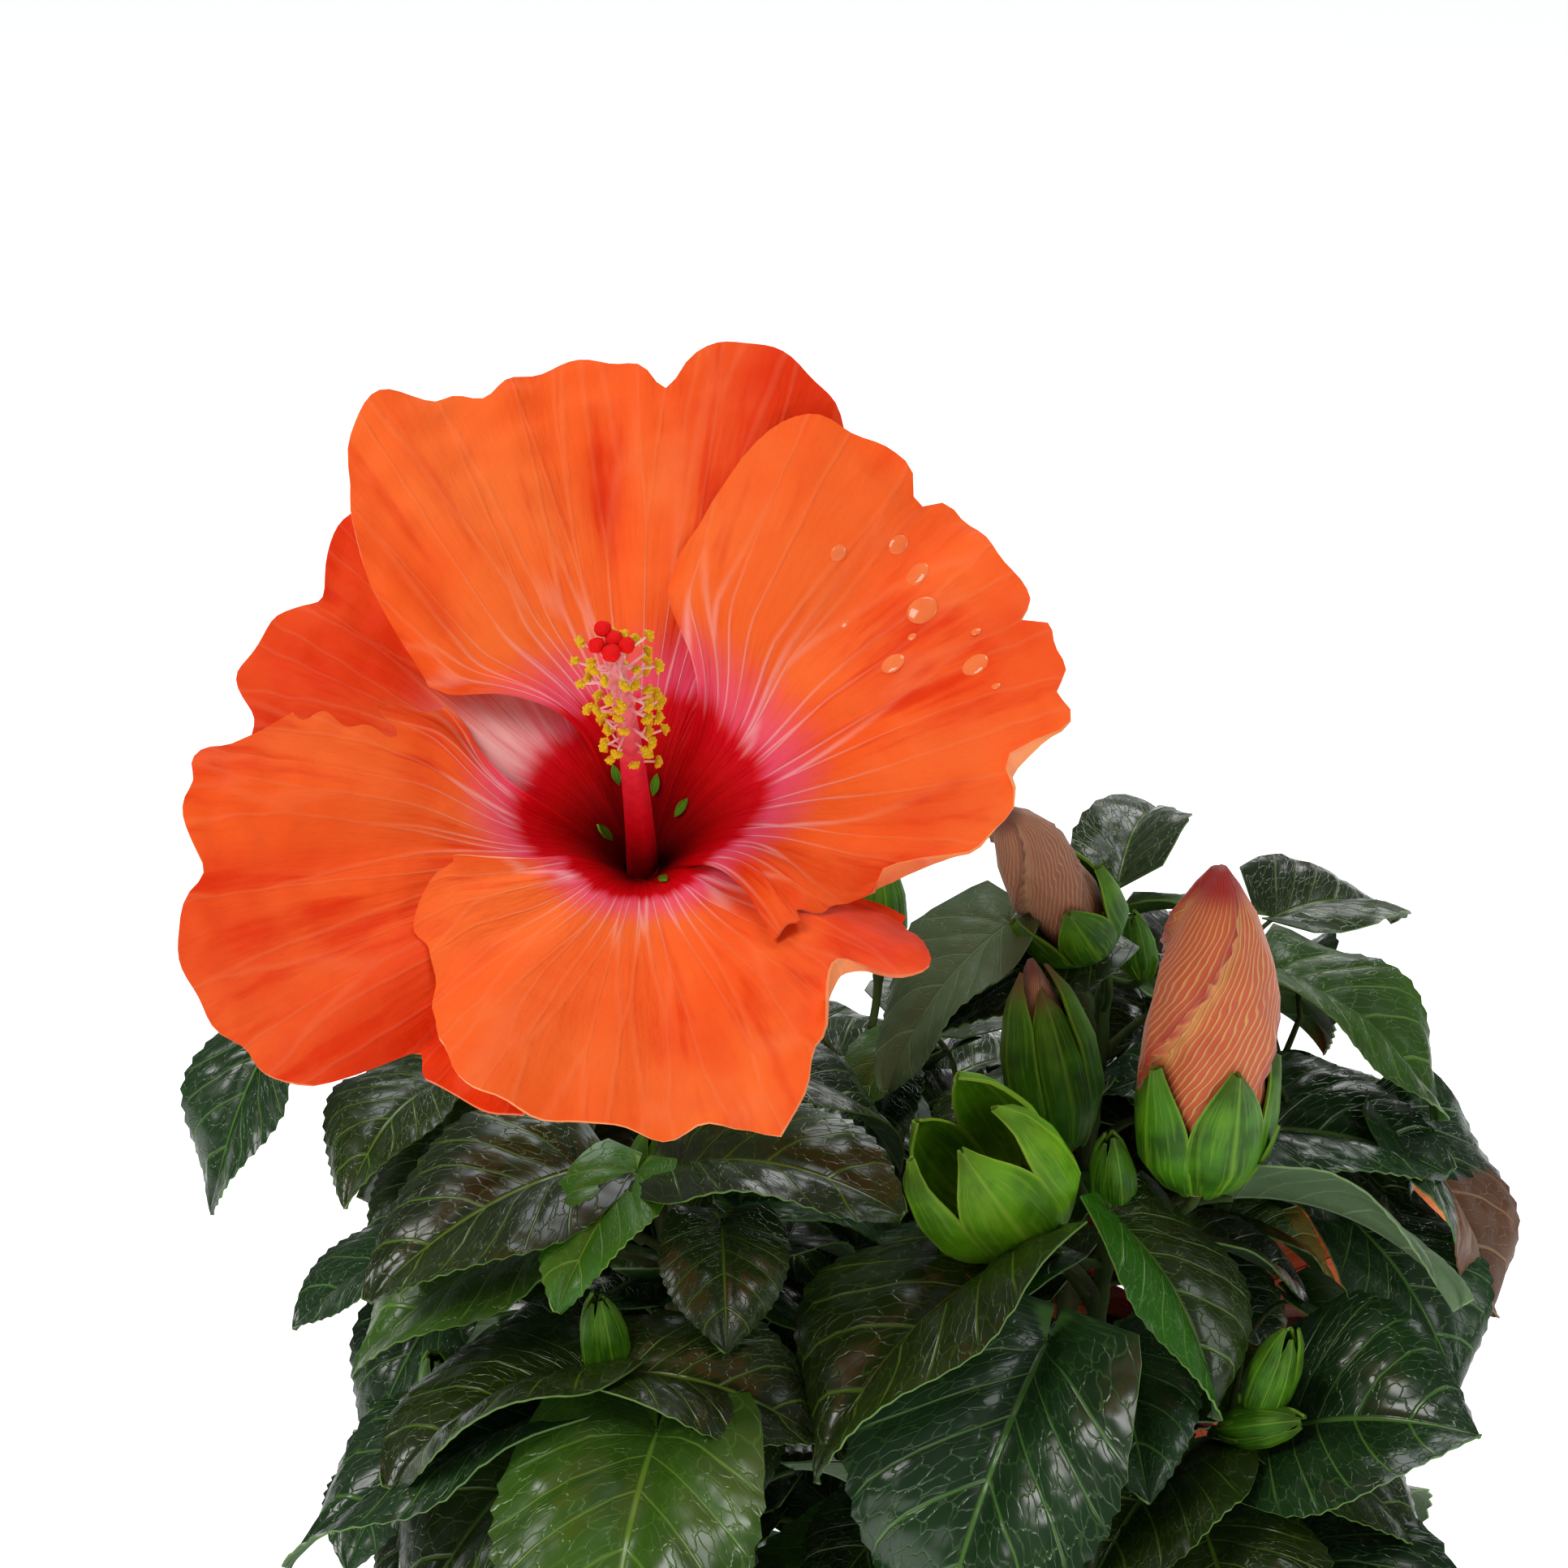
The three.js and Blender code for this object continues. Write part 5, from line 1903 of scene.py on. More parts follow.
@dataclass(frozen=True)
class Petal:
    """One petal: turn and half spread round the axis, cone, rim reach at even steps, edges."""

    centre: float
    spread: float
    cone: float
    rim: tuple[float, ...]
    lift: tuple[float, float]
    waist: tuple[float, float]
    wave: float
    throat: tuple[float, float]
    # Redness by share across: partly the petal's own colour, partly painted shade near edges that other
    # petals overlap.
    flush: tuple[tuple[float, float], ...]
    nicks: tuple[Nick, ...] = ()
    curls: tuple[Curl, ...] = ()

    def rim_at(self, across: np.ndarray) -> np.ndarray:
        """Reach of the rim, smooth through its steps.

        Args:
            across: Shares across, from -1 to 1.

        Returns:
            Reaches in millimetres.
        """
        values = np.array(self.rim, float)
        last = len(values) - 1
        step = np.clip((across + 1) / 2 * last, 0, last - 1e-6)
        i = np.floor(step).astype(int)
        f = step - i
        before, start = values[np.maximum(i - 1, 0)], values[i]
        end, after = values[i + 1], values[np.minimum(i + 2, last)]
        curve = 2 * start + (end - before) * f + (2 * before - 5 * start + 4 * end - after) * f**2
        return (curve + (3 * start - before - 3 * end + after) * f**3) / 2


PETALS = (
    Petal(
        centre=16, spread=67, cone=63, wave=0.4, lift=(3.4, 4.8), waist=(0.78, 0.62), throat=(13.5, 21),
        rim=(35, 36, 38, 53, 62, 70.5, 71.3, 71.6, 72.2, 71, 68.8, 61.5, 41),
        flush=(
            (-0.9, 0.7), (-0.5, 0.5), (-0.25, 0.1), (-0.1, 0.55), (0.15, 0.45), (0.4, 0.05),
            (0.8, 0.1), (1, 0.5),
        ),
        nicks=(Nick(47, 4.4, 2), Nick(22, 4, 2), Nick(-38, 4, 3), Nick(8, 2.6, 2.4)),
        curls=(Curl(-2, 4, 0.9, 2.4), Curl(-20, 6, 0.86, 2.4)),
    ),
    Petal(
        centre=98, spread=52, cone=63, wave=2.1, lift=(-2.8, 4.0), waist=(0.9, 0.45), throat=(22, 21),
        rim=(56, 64, 72, 77.5, 77.3, 76, 78, 74.8, 74.6, 76.8, 72.5, 58, 40),
        flush=((-0.5, 0.95), (-0.15, 0.3), (0.2, 0.0), (0.6, 0.15), (1, 0.5)),
        nicks=(Nick(87, 4, 2.4), Nick(111, 1.6, 2.5), Nick(118, 1.4, 2.0), Nick(134, 1.5, 2)),
    ),
    Petal(
        centre=160, spread=48, cone=71, wave=3.7, lift=(-3.0, -5.5), waist=(0.9, 0.9), throat=(20.5, 20.5),
        rim=(60, 66, 70, 71.2, 67.6, 70.4, 71, 66.6, 65, 63, 60, 56, 50),
        # Painted shade: this petal lies under two others and is made redder all over.
        flush=((-1, 1), (0, 0.8), (1, 1)),
        nicks=(Nick(144, 1.5, 3), Nick(167, 1.6, 3)),
    ),
    Petal(
        centre=201, spread=52, cone=71, wave=5.2, lift=(6.5, -3.0), waist=(0.5, 0.9), throat=(19.5, 18),
        rim=(38, 56, 61.5, 70, 73.6, 73.4, 78, 79.8, 77.5, 72, 60.5, 60.5, 60),
        flush=((-1, 0.6), (-0.7, 0.3), (-0.3, 0.35), (0.1, 0.6), (0.5, 0.95), (1, 1)),
        nicks=(Nick(231, 10, 3), Nick(194, 2.4, 2.6), Nick(181, 1.2, 2.2), Nick(216, 1.5, 2.5)),
    ),
    Petal(
        centre=268, spread=70, cone=63, wave=1.2, lift=(4.0, -4.6), waist=(0.8, 0.9), throat=(14, 13),
        rim=(32, 41, 44, 52, 63, 63.5, 62.8, 63.6, 66.5, 57.5, 52, 57, 49),
        flush=((-1, 0.35), (-0.7, 0.05), (0.2, 0.1), (0.6, 0.45), (0.9, 1)),
        nicks=(
            Nick(281, 2.6, 3), Nick(289.5, -3, 1.7), Nick(299, 2.4, 2.4),
            Nick(240, 1.4, 2.4), Nick(336, 3, 3),
        ),
        curls=(Curl(311, 10, 0.89, 2.2),),
    ),
)


@dataclass(frozen=True)
class PetalRule:
    """Sizes that all petals share."""

    thickness: float = 0.5
    claw: float = 3
    waist_at: float = 14
    full_spread_at: float = 38
    throat_radius: float = 16
    throat_depth: float = 14
    recurve: float = 5
    ruffle: float = 4.2
    ruffles: int = 6
    frill: float = 0.9
    frills: int = 23
    pleat: float = 1.6
    pucker: float = 0.6
    pucker_step: float = 7.5

    @staticmethod
    def folds(petal: Petal, share: np.ndarray, across: np.ndarray) -> np.ndarray:
        """Uneven radial folds of a petal, from about -1 to 1, which fade to its claw and rim.

        Args:
            petal: Petal in question.
            share: Shares of the length, from throat to rim.
            across: Shares across, from -1 to 1.

        Returns:
            Heights of the folds.
        """
        wide = np.sin(8.5 * across + 2 * petal.wave + 1.2 * share)
        middle = 0.6 * np.sin(17 * across - 3 * petal.wave - 2 * share)
        patchy = 0.5 + 0.5 * np.sin(5 * across + petal.wave)
        fine = 0.38 * np.sin(31 * across + 5 * petal.wave + 3 * share) * patchy
        return (wide + middle + fine) * smooth(0.25, 0.75, share) * (1 - 0.45 * share**4)

    def sunk(self, reach: np.ndarray) -> np.ndarray:
        """How far the throat sinks below the cone at a reach from the axis."""
        return np.maximum(0, 1 - reach / self.throat_radius) ** 2 * self.throat_depth

    def surface(self, petal: Petal, share: np.ndarray, across: np.ndarray) -> np.ndarray:
        """Local points of a petal.

        Args:
            petal: the petal.
            share: share of the way from claw to rim.
            across: -1 to 1 from one edge to the other.

        Returns:
            Points in the blossom's frame.
        """
        rim = petal.rim_at(across)
        rim_turn = petal.centre + across * petal.spread
        for nick in petal.nicks:
            rim = rim - nick.depth * np.exp(-(((rim_turn - nick.turn) / nick.width) ** 2))
        rim_angle = np.radians(rim_turn)
        rim = rim + 0.5 * np.sin(rim_angle * 17 + petal.wave) + 0.3 * np.sin(rim_angle * 41)
        reach = lerp(self.claw, rim, share)
        waist = np.where(across < 0, petal.waist[0], petal.waist[1])
        spread = petal.spread * lerp(waist, 1, smooth(self.waist_at, self.full_spread_at, reach))
        turn = np.radians(petal.centre + across * spread)
        edge = np.where(across < 0, petal.lift[0], petal.lift[1]) * across**2 * smooth(0.06, 0.5, share)
        ruffle = self.ruffle * share**3 * np.sin(self.ruffles * turn + 0.8)
        frill = self.frill * share**6 * np.sin(self.frills * turn + petal.wave)
        pleat = self.pleat * self.folds(petal, share, across)
        height = reach / math.tan(math.radians(petal.cone)) - self.sunk(reach) - self.recurve * share**4
        dimples = np.sin(2 * np.pi * reach / self.pucker_step + 9 * across)
        dimples = dimples * np.sin(14 * across + petal.wave)
        height = height + edge + ruffle + frill + pleat + self.pucker * share**4 * dimples
        for curl in petal.curls:
            near = np.exp(-(((np.degrees(turn) - curl.turn) / curl.width) ** 2))
            over = np.maximum(0, share - curl.start) * rim * near
            bend = over / curl.radius
            reach = reach - over + curl.radius * np.sin(bend) * 0.9
            height = height + curl.radius * (1 - np.cos(bend))
        return polar(reach, turn, height)


PETAL_RULE = PetalRule()


@dataclass(frozen=True)
class Bloom:
    """Where a blossom stands and what carries it."""

    name: str
    throat: Triple
    azimuth: float
    elevation: float
    turn: float
    scale: float
    mass: Mass
    level: float
    bend: Triple
    wet: bool = False

    def stand(self) -> Stand:
        """Frame of the blossom: right, up and out along its axis.

        Returns:
            The frame.
        """
        out = heading(self.azimuth, self.elevation)
        right = heading(self.azimuth + 90, 0)
        up = np.cross(out, right)
        cosine, sine = math.cos(math.radians(self.turn)), math.sin(math.radians(self.turn))
        origin = np.array(self.throat, float)
        return Stand(origin, right * cosine + up * sine, up * cosine - right * sine, out, self.scale)


BLOOMS = (
    Bloom("front", (-39, -45, 285), -90, 50, 0, 1, Mass.FRONT_LEFT, 1, (-36, -13, 240), wet=True),
    Bloom("back", (62, 50, 142), 68, 14, 40, 0.72, Mass.BACK_RIGHT, 0.16, (54, 18, 122)),
)


@dataclass
class Blossom:
    """Dresses one blossom: petals, column, stamens, stigma, calyx and stalk."""

    bloom: Bloom
    sheet: Template
    tube: Template
    hair: Template
    ball: Template
    grain: Template
    sepal: Template
    bract: Template
    column_length: float = 66
    column_sway: float = -2.5
    column_radii: tuple[float, float] = (2.9, 1.35)
    stamens: int = 66
    stamen_levels: tuple[float, float] = (0.5, 0.965)
    throat_ring: float = 20
    blush_petal: int = 2
    grains: int = 12
    stigmas: int = 5
    sepals: int = 5
    sepal_length: float = 25
    sepal_radius: float = 7.5
    sepal_thickness: float = 0.5
    bracts: int = 7
    calyx_back: float = 26
    slit_size: tuple[float, float] = (2.6, 0.75)
    drops: tuple[tuple[float, float, float], ...] = (
        (39, 59.6, 2.4), (33, 56.5, 2.8), (27, 46.8, 2.2), (18, 58.3, 2.6), (45, 61.8, 1.9), (51, 52.8, 1.6),
        (30, 52, 0.8), (42, 46, 0.9), (24, 62, 0.9), (12, 60, 0.8),
    )
    slits: tuple[tuple[float, float], ...] = ((40, 8.6), (157, 6.4), (112, 11.0), (76, 9.5), (-62, 8.0))

    def __post_init__(self) -> None:
        """Works out the frame and the line of the column."""
        self.stand = self.bloom.stand()
        self.node = [f"blossom_{self.bloom.name}"]
        ends = np.array([
            [0, 0, -PETAL_RULE.throat_depth],
            [0, 0, self.column_length / 2],
            [self.column_sway, 0, self.column_length],
        ])
        self.column = Curve(*self.stand.place(ends))

    def petals(self, materials: list[bpy.types.Material]) -> None:
        """The five petals as one piece.

        Args:
            materials: Materials of its slots, in order.
        """
        piece = Piece(f"petals_{self.bloom.name}")
        across, share = self.sheet.spread()
        for index, petal in enumerate(PETALS):
            local = PETAL_RULE.surface(petal, share**0.92, across)
            reach = np.hypot(local[:, 0], local[:, 1])
            turn = np.degrees(np.arctan2(local[:, 1], local[:, 0])) % 360
            pale = np.exp(-(((turn - 148) / 22) ** 2) - ((reach - 28) / 8.5) ** 2) * smooth(19, 24, reach)
            # Redness across the petal: partly its own colour, partly painted shade where other petals
            # overlap it.
            flush = np.interp(across, *zip(*petal.flush))
            throat = lerp(petal.throat[0], petal.throat[1], smooth(-0.9, 0, across))
            folds = PETAL_RULE.folds(petal, share, across)
            # Painted shade: the valleys of the folds are made redder.
            valley_shade = 0.45 * smooth(0.2, 1.6, -folds) * smooth(0.3, 0.6, share)
            piece.add(
                self.sheet, self.stand.place(local), 0,
                reach=reach * self.throat_ring / throat, lobe=float(index),
                blush=pale * (index == self.blush_petal), flush=np.clip(flush + valley_shade, 0, 1),
            )
        made = piece.build(materials, "petal", self.node)
        give_thickness(made, PETAL_RULE.thickness * self.bloom.scale, under=1, rim=1)

    def offset(self, local: np.ndarray) -> np.ndarray:
        """World steps of local ones."""
        return self.stand.place(local) - self.stand.origin

    def girth(self, share: np.ndarray, angle: np.ndarray) -> np.ndarray:
        """Radius rule of the column, faintly five-ribbed, with a closed tip."""
        radius = self.bloom.scale * lerp(*self.column_radii, share**0.8)
        return radius * (1 + 0.05 * np.cos(5 * angle)) * np.where(share > 0.99, 0.4, 1)

    def heart(self) -> None:
        """Column, filaments, anthers and stigma pads, each kind apart."""
        column = Piece(f"column_{self.bloom.name}")
        column.add(self.tube, tube_points(self.tube, self.column, self.girth), along=self.tube.own[:, 2])
        filaments = Piece(f"filaments_{self.bloom.name}")
        anthers = Piece(f"anthers_{self.bloom.name}")
        stigma = Piece(f"stigma_{self.bloom.name}")
        self.add_stamens(filaments, anthers)
        self.add_stigma(filaments, stigma)
        column.build([COLUMN_FINISH.material()], "petal", self.node)
        filaments.build([FILAMENT_FINISH.material()], "petal", self.node)
        anthers.build([ANTHER_FINISH.material()], "petal", self.node)
        stigma.build([STIGMA_FINISH.material()], "petal", self.node)

    def add_stamens(self, filaments: Piece, anthers: Piece) -> None:
        """Adds the filaments that stand off the column's upper half, each with its anther.

        Args:
            filaments: Piece that takes the threads.
            anthers: Piece that takes the anthers.
        """
        scale = self.bloom.scale
        thread = tapered(0.26 * scale, 0.17 * scale)
        dice = Dice(7 + len(self.bloom.name))
        for i in range(self.stamens):
            share = lerp(*self.stamen_levels, (i / (self.stamens - 1)) ** 0.8)
            start = self.column.point(share)
            turn = math.radians(i * GOLDEN_TURN + dice.within(-15, 15))
            spread = dice.within(3.6, 6.6) * lerp(0.75, 1.0, share)
            tip = np.array([spread * math.cos(turn), spread * math.sin(turn), dice.within(0.5, 3.4)])
            end = start + self.offset(tip)
            waist = start + self.offset(tip * np.array([0.55, 0.55, 0.15]))
            points = tube_points(self.hair, Curve(start, waist, end), thread)
            filaments.add(self.hair, points, along=self.hair.own[:, 2])
            self.add_anther(anthers, end, unit(end - start), dice)

    def add_stigma(self, filaments: Piece, stigma: Piece) -> None:
        """Adds the five rough pads at the column's tip, each on its own short style.

        Args:
            filaments: Piece that takes the threads.
            stigma: Piece that takes the pads.
        """
        top, own, scale = self.column.tip, self.ball.own, self.bloom.scale
        style = tapered(0.5 * scale, 0.4 * scale)
        dice = Dice(31)
        for i in range(self.stigmas):
            turn = math.radians(360 * i / self.stigmas + 54)
            reach = 0.6 if i == 0 else 2.4
            spot = np.array([reach * math.cos(turn), reach * math.sin(turn), 2.1 + 0.5 * (i % 2)])
            end = top + self.offset(spot)
            bend = lerp(top, end, 0.5) + self.stand.out * 0.8
            filaments.add(self.hair, tube_points(self.hair, Curve(top, bend, end), style), along=0.2)
            rough = np.sin(own @ np.array([17.0, 11.0, 13.0]) + i)
            rough = rough * np.cos(own @ np.array([-9.0, 19.0, 7.0]))
            pad = own * np.array([1.0, 1.0, 0.72]) * (1 + 0.07 * rough)[:, None] * dice.within(1.35, 1.55)
            stigma.add(self.ball, end + self.offset(pad), along=0.5 + 0.5 * own[:, 2])

    def add_anther(self, piece: Piece, place: np.ndarray, out: np.ndarray, dice: Dice) -> None:
        """Adds a kidney-shaped anther and the pollen grains that stand on it.

        Args:
            piece: Piece that takes the shapes.
            place: Place it stands at.
            out: Direction it points in, of length 1.
            dice: Source of random numbers.
        """
        stand = Stand.along(place, out, dice.within(0, 360))
        size = dice.within(0.95, 1.2) * self.bloom.scale
        template = self.ball if self.bloom.wet else self.grain
        own = template.own
        kidney = own * np.array([1.0, 0.55, 0.6]) * size
        kidney[:, 2] += 0.35 * size * (1 - own[:, 0] ** 2)
        piece.add(template, stand.place(kidney), along=0.3 + 0.3 * own[:, 2])
        for _ in range(self.grains):
            turn, height = dice.within(0, FULL_TURN), dice.within(-0.2, 1.0)
            ring = math.sqrt(max(0.0, 1 - height * height))
            spot = np.array([ring * math.cos(turn), 0.55 * ring * math.sin(turn), 0.6 * height]) * size
            spot[2] += 0.35 * size * (1 - (ring * math.cos(turn)) ** 2)
            speck = spot + self.grain.own * 0.2 * size
            piece.add(self.grain, stand.place(speck), along=0.8)

    def calyx(self) -> None:
        """Sepal cup, bracts and stalk behind the petals, and the green slits in the throat."""
        piece = Piece(f"calyx_{self.bloom.name}")
        rear = replace(self.stand, origin=self.stand.place(np.array([0, 0, -self.calyx_back])))
        self.add_sepals(piece, rear)
        self.add_bracts(piece, rear)
        self.add_slits(piece)
        made = piece.build([SEPAL.material()], "foliage", self.node)
        give_thickness(made, self.sepal_thickness * self.bloom.scale)
        foot = CURVES[self.bloom.mass][0].point(self.bloom.level)
        line = Curve(foot, np.array(self.bloom.bend, float), rear.origin + self.stand.out * 2)
        stalk = Piece(f"stalk_{self.bloom.name}")
        stalk.add(self.tube, tube_points(self.tube, line, tapered(1.6, 1.9)), youth=1.0)
        stalk.build([TWIG.material()], "foliage", self.node)

    def add_sepals(self, piece: Piece, rear: Stand) -> None:
        """Adds the sepals: a cup below, pointed and spreading above.

        Args:
            piece: Piece that takes the shapes.
            rear: Frame behind the petals.
        """
        across, share = self.sepal.spread()
        narrow = np.clip((1 - share) / 0.5, 0.03, 1) ** 0.8
        for i in range(self.sepals):
            angle = 2 * np.pi * i / self.sepals + across * np.pi / self.sepals * 1.04 * narrow
            radius = self.sepal_radius * np.interp(share, (0, 0.1, 0.4, 0.7, 1), (0.3, 0.75, 1, 1.1, 1.5))
            local = polar(radius * (1 + 0.06 * (1 - np.abs(across))), angle, share * self.sepal_length)
            piece.add(self.sepal, rear.place(local), dry=0.0)

    def add_bracts(self, piece: Piece, rear: Stand) -> None:
        """Adds the ring of narrow bracts under the cup.

        Args:
            piece: Piece that takes the shapes.
            rear: Frame behind the petals.
        """
        across, share = self.bract.spread()
        half = 0.9 * np.sin(np.pi * np.clip(share * 0.9 + 0.1, 0, 1)) ** 0.6 + 0.05
        for i in range(self.bracts):
            turn = 2 * np.pi * (i + 0.5) / self.bracts
            local = strip(turn, 3 + 9 * share, across * half, 9 * share**1.6)
            piece.add(self.bract, rear.place(local), dry=0.1)

    def add_slits(self, piece: Piece) -> None:
        """Adds the green slits that lie on the throat's wall.

        Args:
            piece: Piece that takes the shapes.
        """
        long, wide = self.slit_size
        slope = math.tan(math.radians(PETALS[0].cone))
        x, y = self.bract.own[:, 0], self.bract.own[:, 1]
        for turn, middle in self.slits:
            reach = middle + y * long * 0.5
            angle = math.radians(turn) - x * wide * (1 - y * y) / np.maximum(reach, 1)
            local = polar(reach, angle, reach / slope - PETAL_RULE.sunk(reach) + 1.1)
            piece.add(self.bract, self.stand.place(local), dry=0.0)

    def water(self) -> None:
        """Drops of water lying on the right petal."""
        piece = Piece(f"drops_{self.bloom.name}")
        petal = PETALS[0]
        for turn, reach, size in self.drops:
            across = np.array([(turn - petal.centre) / petal.spread])
            share = (reach - PETAL_RULE.claw) / (petal.rim_at(across) - PETAL_RULE.claw)
            spot = PETAL_RULE.surface(petal, share, across)[0]
            ahead = PETAL_RULE.surface(petal, share + 0.01, across)[0] - spot
            beside = PETAL_RULE.surface(petal, share, across + 0.01)[0] - spot
            normal = unit(np.cross(ahead, beside))
            normal = normal if normal[2] > 0 else -normal
            seat = Stand.along(spot, normal, turn)
            bead = self.ball.own * np.array([size, size * 0.8, size * 0.2])
            piece.add(self.ball, self.stand.place(seat.place(bead)))
        piece.build([DropFinish().material()], "petal", self.node)


# ------------------------------------------------------------------ bark


@dataclass
class Wood:
    """Stem with its root flare, and the seven boughs, with the bark's relief."""

    lean: tuple[float, float] = (4, 3)
    height: float = 42
    foot: float = 6.8
    fork: float = 5.2
    flare: float = 11
    flare_height: float = 10
    buttresses: int = 5
    buttress_depth: float = 1.1
    bough_foot: float = 3.5
    bough_tip: float = 2.6

    @staticmethod
    def fissures(turn: np.ndarray, height: np.ndarray, depth: float) -> np.ndarray:
        """Relief of the bark: lengthwise ridges that wander and break.

        Args:
            turn: Turns about the axis, in radians.
            height: Heights above ground.
            depth: Depth of the relief.

        Returns:
            Relief in millimetres.
        """
        wander = 0.7 * np.sin(height * 0.21) + 0.4 * np.sin(height * 0.53 + 2 * turn)
        ridge = np.abs(np.sin(5 * turn + wander)) + 0.5 * np.abs(np.sin(11 * turn - wander + height * 0.1))
        rings = 0.4 * np.exp(-((np.sin(height * 0.37 + 0.3 * np.sin(3 * turn)) / 0.2) ** 2))
        return depth * (ridge - 0.8 + rings)

    def stem(self, material: bpy.types.Material) -> None:
        """The short woody stem.

        Args:
            material: Its material.
        """
        template = Template.tube(72, 64)
        share, turn = template.wrap()
        height = share * self.height
        flare = (self.flare - self.foot) * np.exp(-3 * height / self.flare_height)
        swell = self.buttress_depth * np.cos(self.buttresses * turn) * np.exp(-height / self.flare_height)
        radius = lerp(self.foot, self.fork, share) + flare + swell + self.fissures(turn, height, 0.28)
        radius = radius * np.sqrt(np.clip(1 - ((share - 0.9) / 0.105) ** 2 * (share > 0.9), 0.02, 1))
        points = polar(radius, turn, height) + np.outer(share**1.4, (*self.lean, 0))
        piece = Piece("bark_main_stem")
        piece.add(template, points, youth=0.0)
        piece.build([material], "bark", ["main_stem"])

    def bough(self, mass: Mass, material: bpy.types.Material) -> None:
        """One tapering bough, scarred where leaves have fallen.

        Args:
            mass: Mass it belongs to.
            material: Its material.
        """
        template = Template.tube(28, 56)

        def radius(share: np.ndarray, angle: np.ndarray) -> np.ndarray:
            """Taper, relief and leaf scars.

            Args:
                share: Shares of the length, from foot to tip.
                angle: Angles round the axis, in radians.

            Returns:
                Radii in millimetres.
            """
            scars = 0.35 * np.exp(-((np.sin(share * 22 + angle * 0.5) / 0.25) ** 2))
            collar = 0.9 * np.exp(-share * 14)
            close = np.where(share > 0.99, 0.6, 1.0)
            relief = self.fissures(angle, share * 60, 0.13)
            return (lerp(self.bough_foot, self.bough_tip, share) + collar + scars * 0.5 + relief) * close

        piece = Piece(f"bark_bough_{mass.value}")
        piece.add(template, tube_points(template, BOUGHS[mass], radius), youth=0.25 * template.own[:, 2])
        piece.build([material], "bark", [f"bough_{mass.value}"])

    def build(self) -> None:
        """Makes the stem and all boughs."""
        material = BARK.material()
        self.stem(material)
        for mass in Mass:
            self.bough(mass, material)


# ------------------------------------------------------------------ studio


@dataclass(frozen=True)
class Lamp:
    """A soft box: its place, what it faces, its size and strength."""

    name: str
    place: Triple
    size: float
    power: float
    tint: Triple


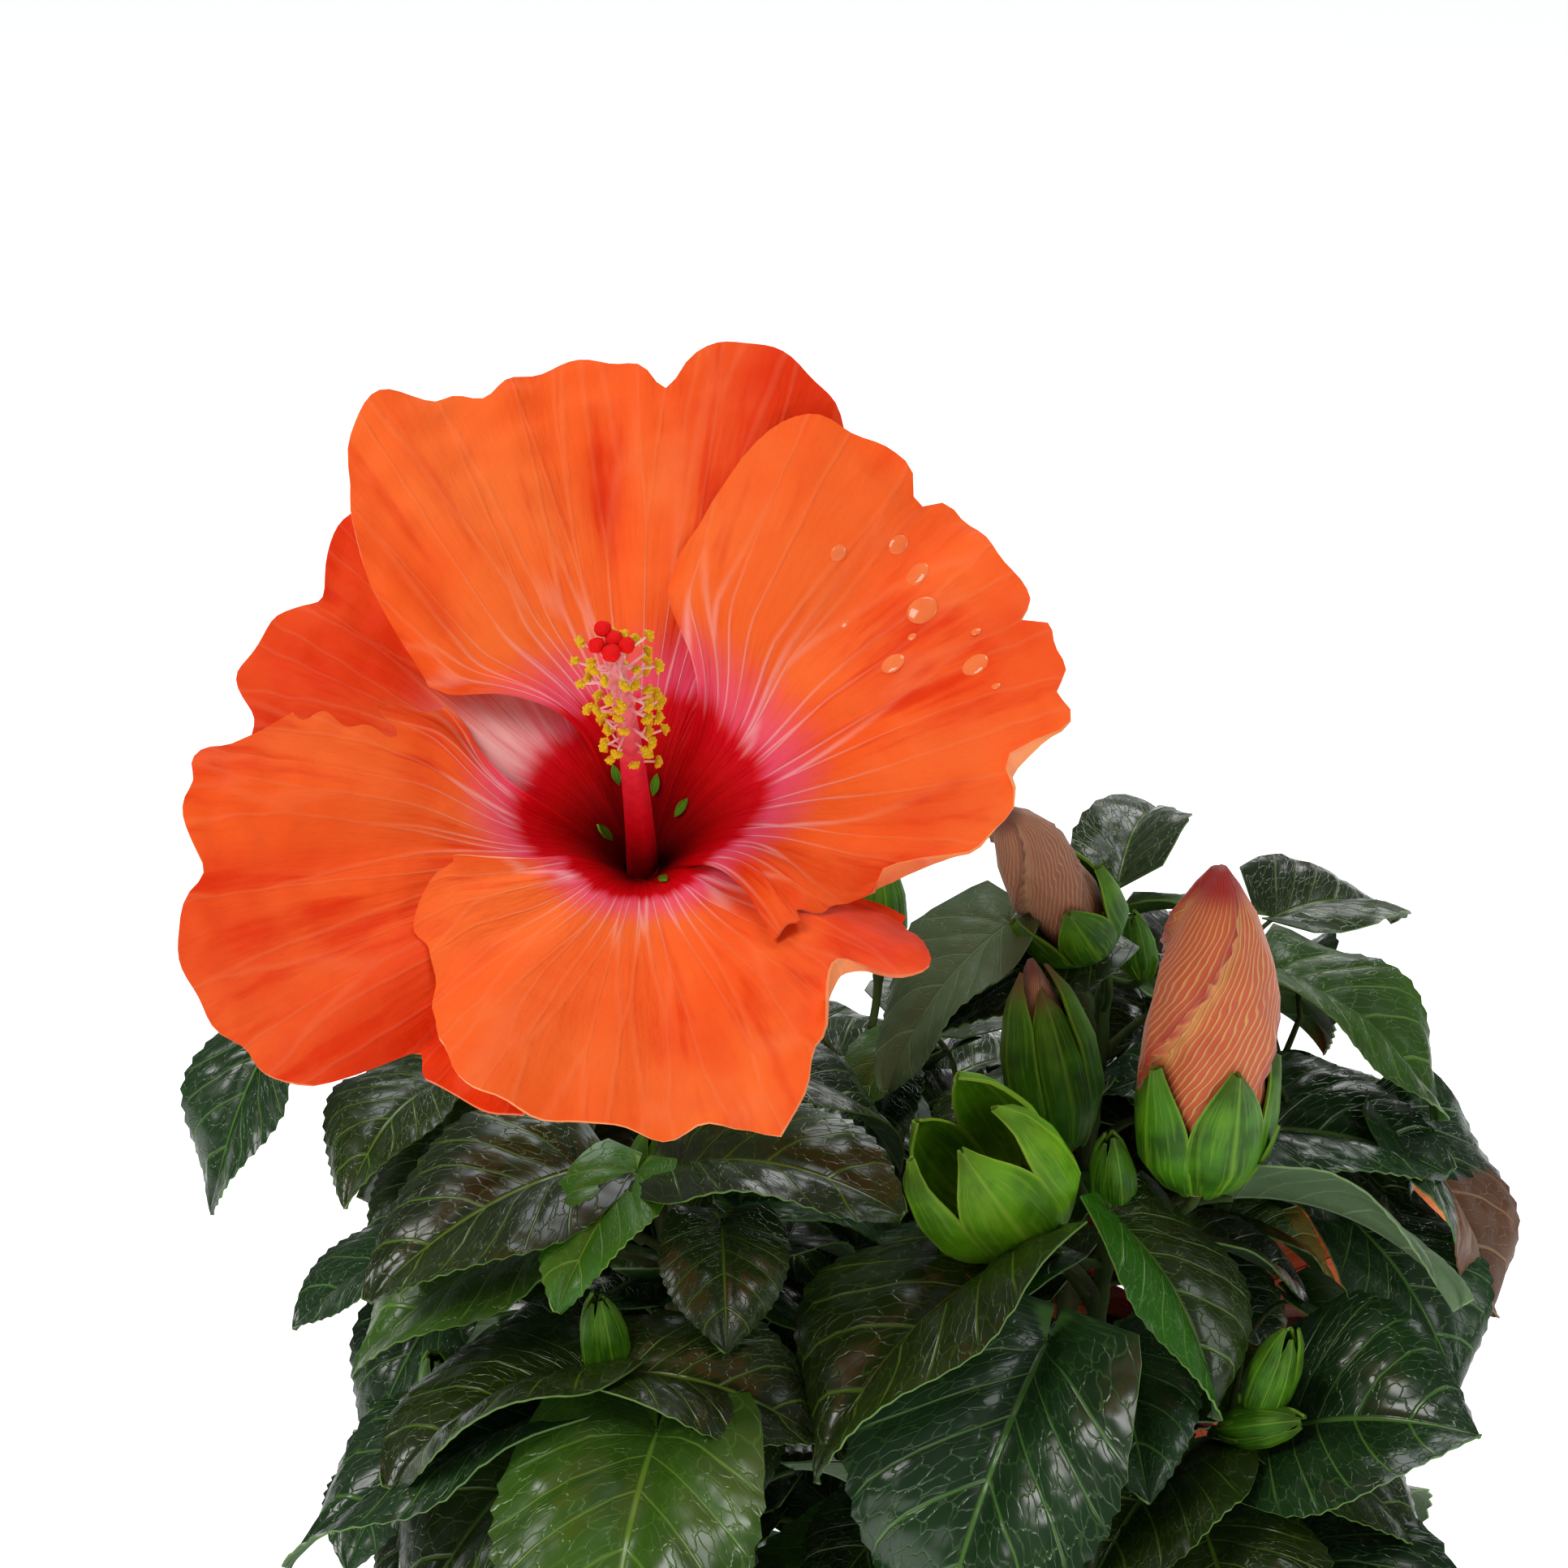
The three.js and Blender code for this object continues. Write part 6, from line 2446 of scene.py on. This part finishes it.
@dataclass
class Studio:
    """Camera, pale floor and soft light, all in metres."""

    target: Triple = (-0.015, -0.0413, 0.2943)
    distance: float = 0.730
    elevation: float = 22
    lens: float = 100
    sensor: float = 36
    lamps: tuple[Lamp, ...] = (
        Lamp("key", (-0.75, -0.7, 1.25), 0.6, 11, (1.0, 0.985, 0.96)),
        Lamp("fill", (0.95, -0.75, 0.75), 0.6, 3.2, (0.95, 0.98, 1.0)),
        Lamp("top", (0.1, 0.35, 1.3), 0.6, 5, (0.93, 0.97, 1.0)),
        Lamp("back", (0.3, 1.2, 0.9), 0.6, 3.5, (1.0, 1.0, 1.0)),
    )
    lamps_face: Triple = (0, 0, 0.2)
    floor_size: float = 6
    floor_shades: tuple[Colour, Colour] = ((0.93, 0.93, 0.93, 1), (0.96, 0.96, 0.96, 1))
    floor_glow: float = 0.78
    sky: Colour = (0.95, 0.98, 1.0, 1)
    sky_strength: float = 0.16

    def camera(self) -> None:
        """Long lens that looks down on the shrub from the front."""
        pitch = math.radians(self.elevation)
        gaze = Vector((0, math.cos(pitch), -math.sin(pitch)))
        data = bpy.data.cameras.new("camera")
        data.lens = self.lens
        data.sensor_width = self.sensor
        data.clip_start = 0.01
        camera = bpy.data.objects.new("camera", data)
        camera.location = Vector(self.target) - gaze * self.distance
        camera.rotation_euler = gaze.to_track_quat("-Z", "Y").to_euler()
        bpy.context.scene.collection.objects.link(camera)
        bpy.context.scene.camera = camera

    def floor(self) -> None:
        """Wide pale floor that the stem stands on."""
        shape = bmesh.new()
        bmesh.ops.create_grid(shape, x_segments=4, y_segments=4, size=self.floor_size)
        mesh = bpy.data.meshes.new("floor")
        shape.to_mesh(mesh)
        shape.free()
        floor = bpy.data.objects.new("floor", mesh)
        shader = Shader("floor")
        shade = shader.mix(shader.noise(3.0), *self.floor_shades)
        shader.finish(
            base_color=shade, roughness=0.9, emission_color=(1, 1, 1, 1), emission_strength=self.floor_glow
        )
        mesh.materials.append(shader.material)
        bpy.context.scene.collection.objects.link(floor)

    def light(self) -> None:
        """Soft boxes round the shrub and a dim grey surround."""
        for lamp in self.lamps:
            data = bpy.data.lights.new(lamp.name, "AREA")
            data.shape = "SQUARE"
            data.size = lamp.size
            data.energy = lamp.power
            data.color = lamp.tint
            light = bpy.data.objects.new(lamp.name, data)
            light.location = lamp.place
            aim = Vector(self.lamps_face) - Vector(lamp.place)
            light.rotation_euler = aim.to_track_quat("-Z", "Y").to_euler()
            bpy.context.scene.collection.objects.link(light)
        world = bpy.data.worlds.new("surround")
        world.use_nodes = True
        sky = world.node_tree.nodes["Background"]
        sky.inputs["Color"].default_value = self.sky
        sky.inputs["Strength"].default_value = self.sky_strength
        bpy.context.scene.world = world

    def build(self) -> None:
        """Sets up the whole studio."""
        self.camera()
        self.floor()
        self.light()
        bpy.context.scene.view_settings.view_transform = "Standard"


# ------------------------------------------------------------------ the shrub


SEPAL_GRID = (8, 14)
BRACT_GRID = (2, 7)


def dress_foliage() -> None:
    """Grows the leaves again by the rule and dresses every mass."""
    thicket = Thicket()
    thicket.grow()
    thicket.grow_sprigs()
    materials = [LEAF_FINISHES[look].material(face) for look in Look for face in Face]
    twig = TWIG.material()
    shape = BladeShape()
    small_shape = BladeShape(rows=21, columns=8, thickness=0.3)
    large = Template.sheet(shape.columns, shape.rows)
    small = Template.sheet(small_shape.columns, small_shape.rows)
    stem, hair = Template.tube(12, 60), Template.tube(7, 10)
    for mass in Mass:
        foliage = Foliage(mass, thicket, large, small, stem, hair, shape, small_shape)
        foliage.blades(materials)
        foliage.twigs(twig)


def dress_blossoms() -> None:
    """Dresses the two blossoms."""
    materials = [PETAL_TOP.material(), PETAL_UNDER.material()]
    for bloom in BLOOMS:
        columns, rows = (84, 64) if bloom.wet else (48, 36)
        blossom = Blossom(
            bloom, Template.sheet(columns, rows), Template.tube(20, 40), Template.tube(6, 6),
            Template.ball(3), Template.ball(1), Template.sheet(*SEPAL_GRID), Template.sheet(*BRACT_GRID),
        )
        blossom.petals(materials)
        blossom.heart()
        blossom.calyx()
        if bloom.wet:
            blossom.water()


def main() -> None:
    """Builds the shrub's pieces in order and the studio round it."""
    logging.basicConfig(level=logging.INFO, format="%(name)s: %(message)s")
    Studio().build()
    Wood().build()
    dress_foliage()
    BudMaker(Template.sheet(*SEPAL_GRID), Template.sheet(*BRACT_GRID), Template.tube(42, 40)).build()
    dress_blossoms()
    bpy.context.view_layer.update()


if __name__ == "__main__":
    main()
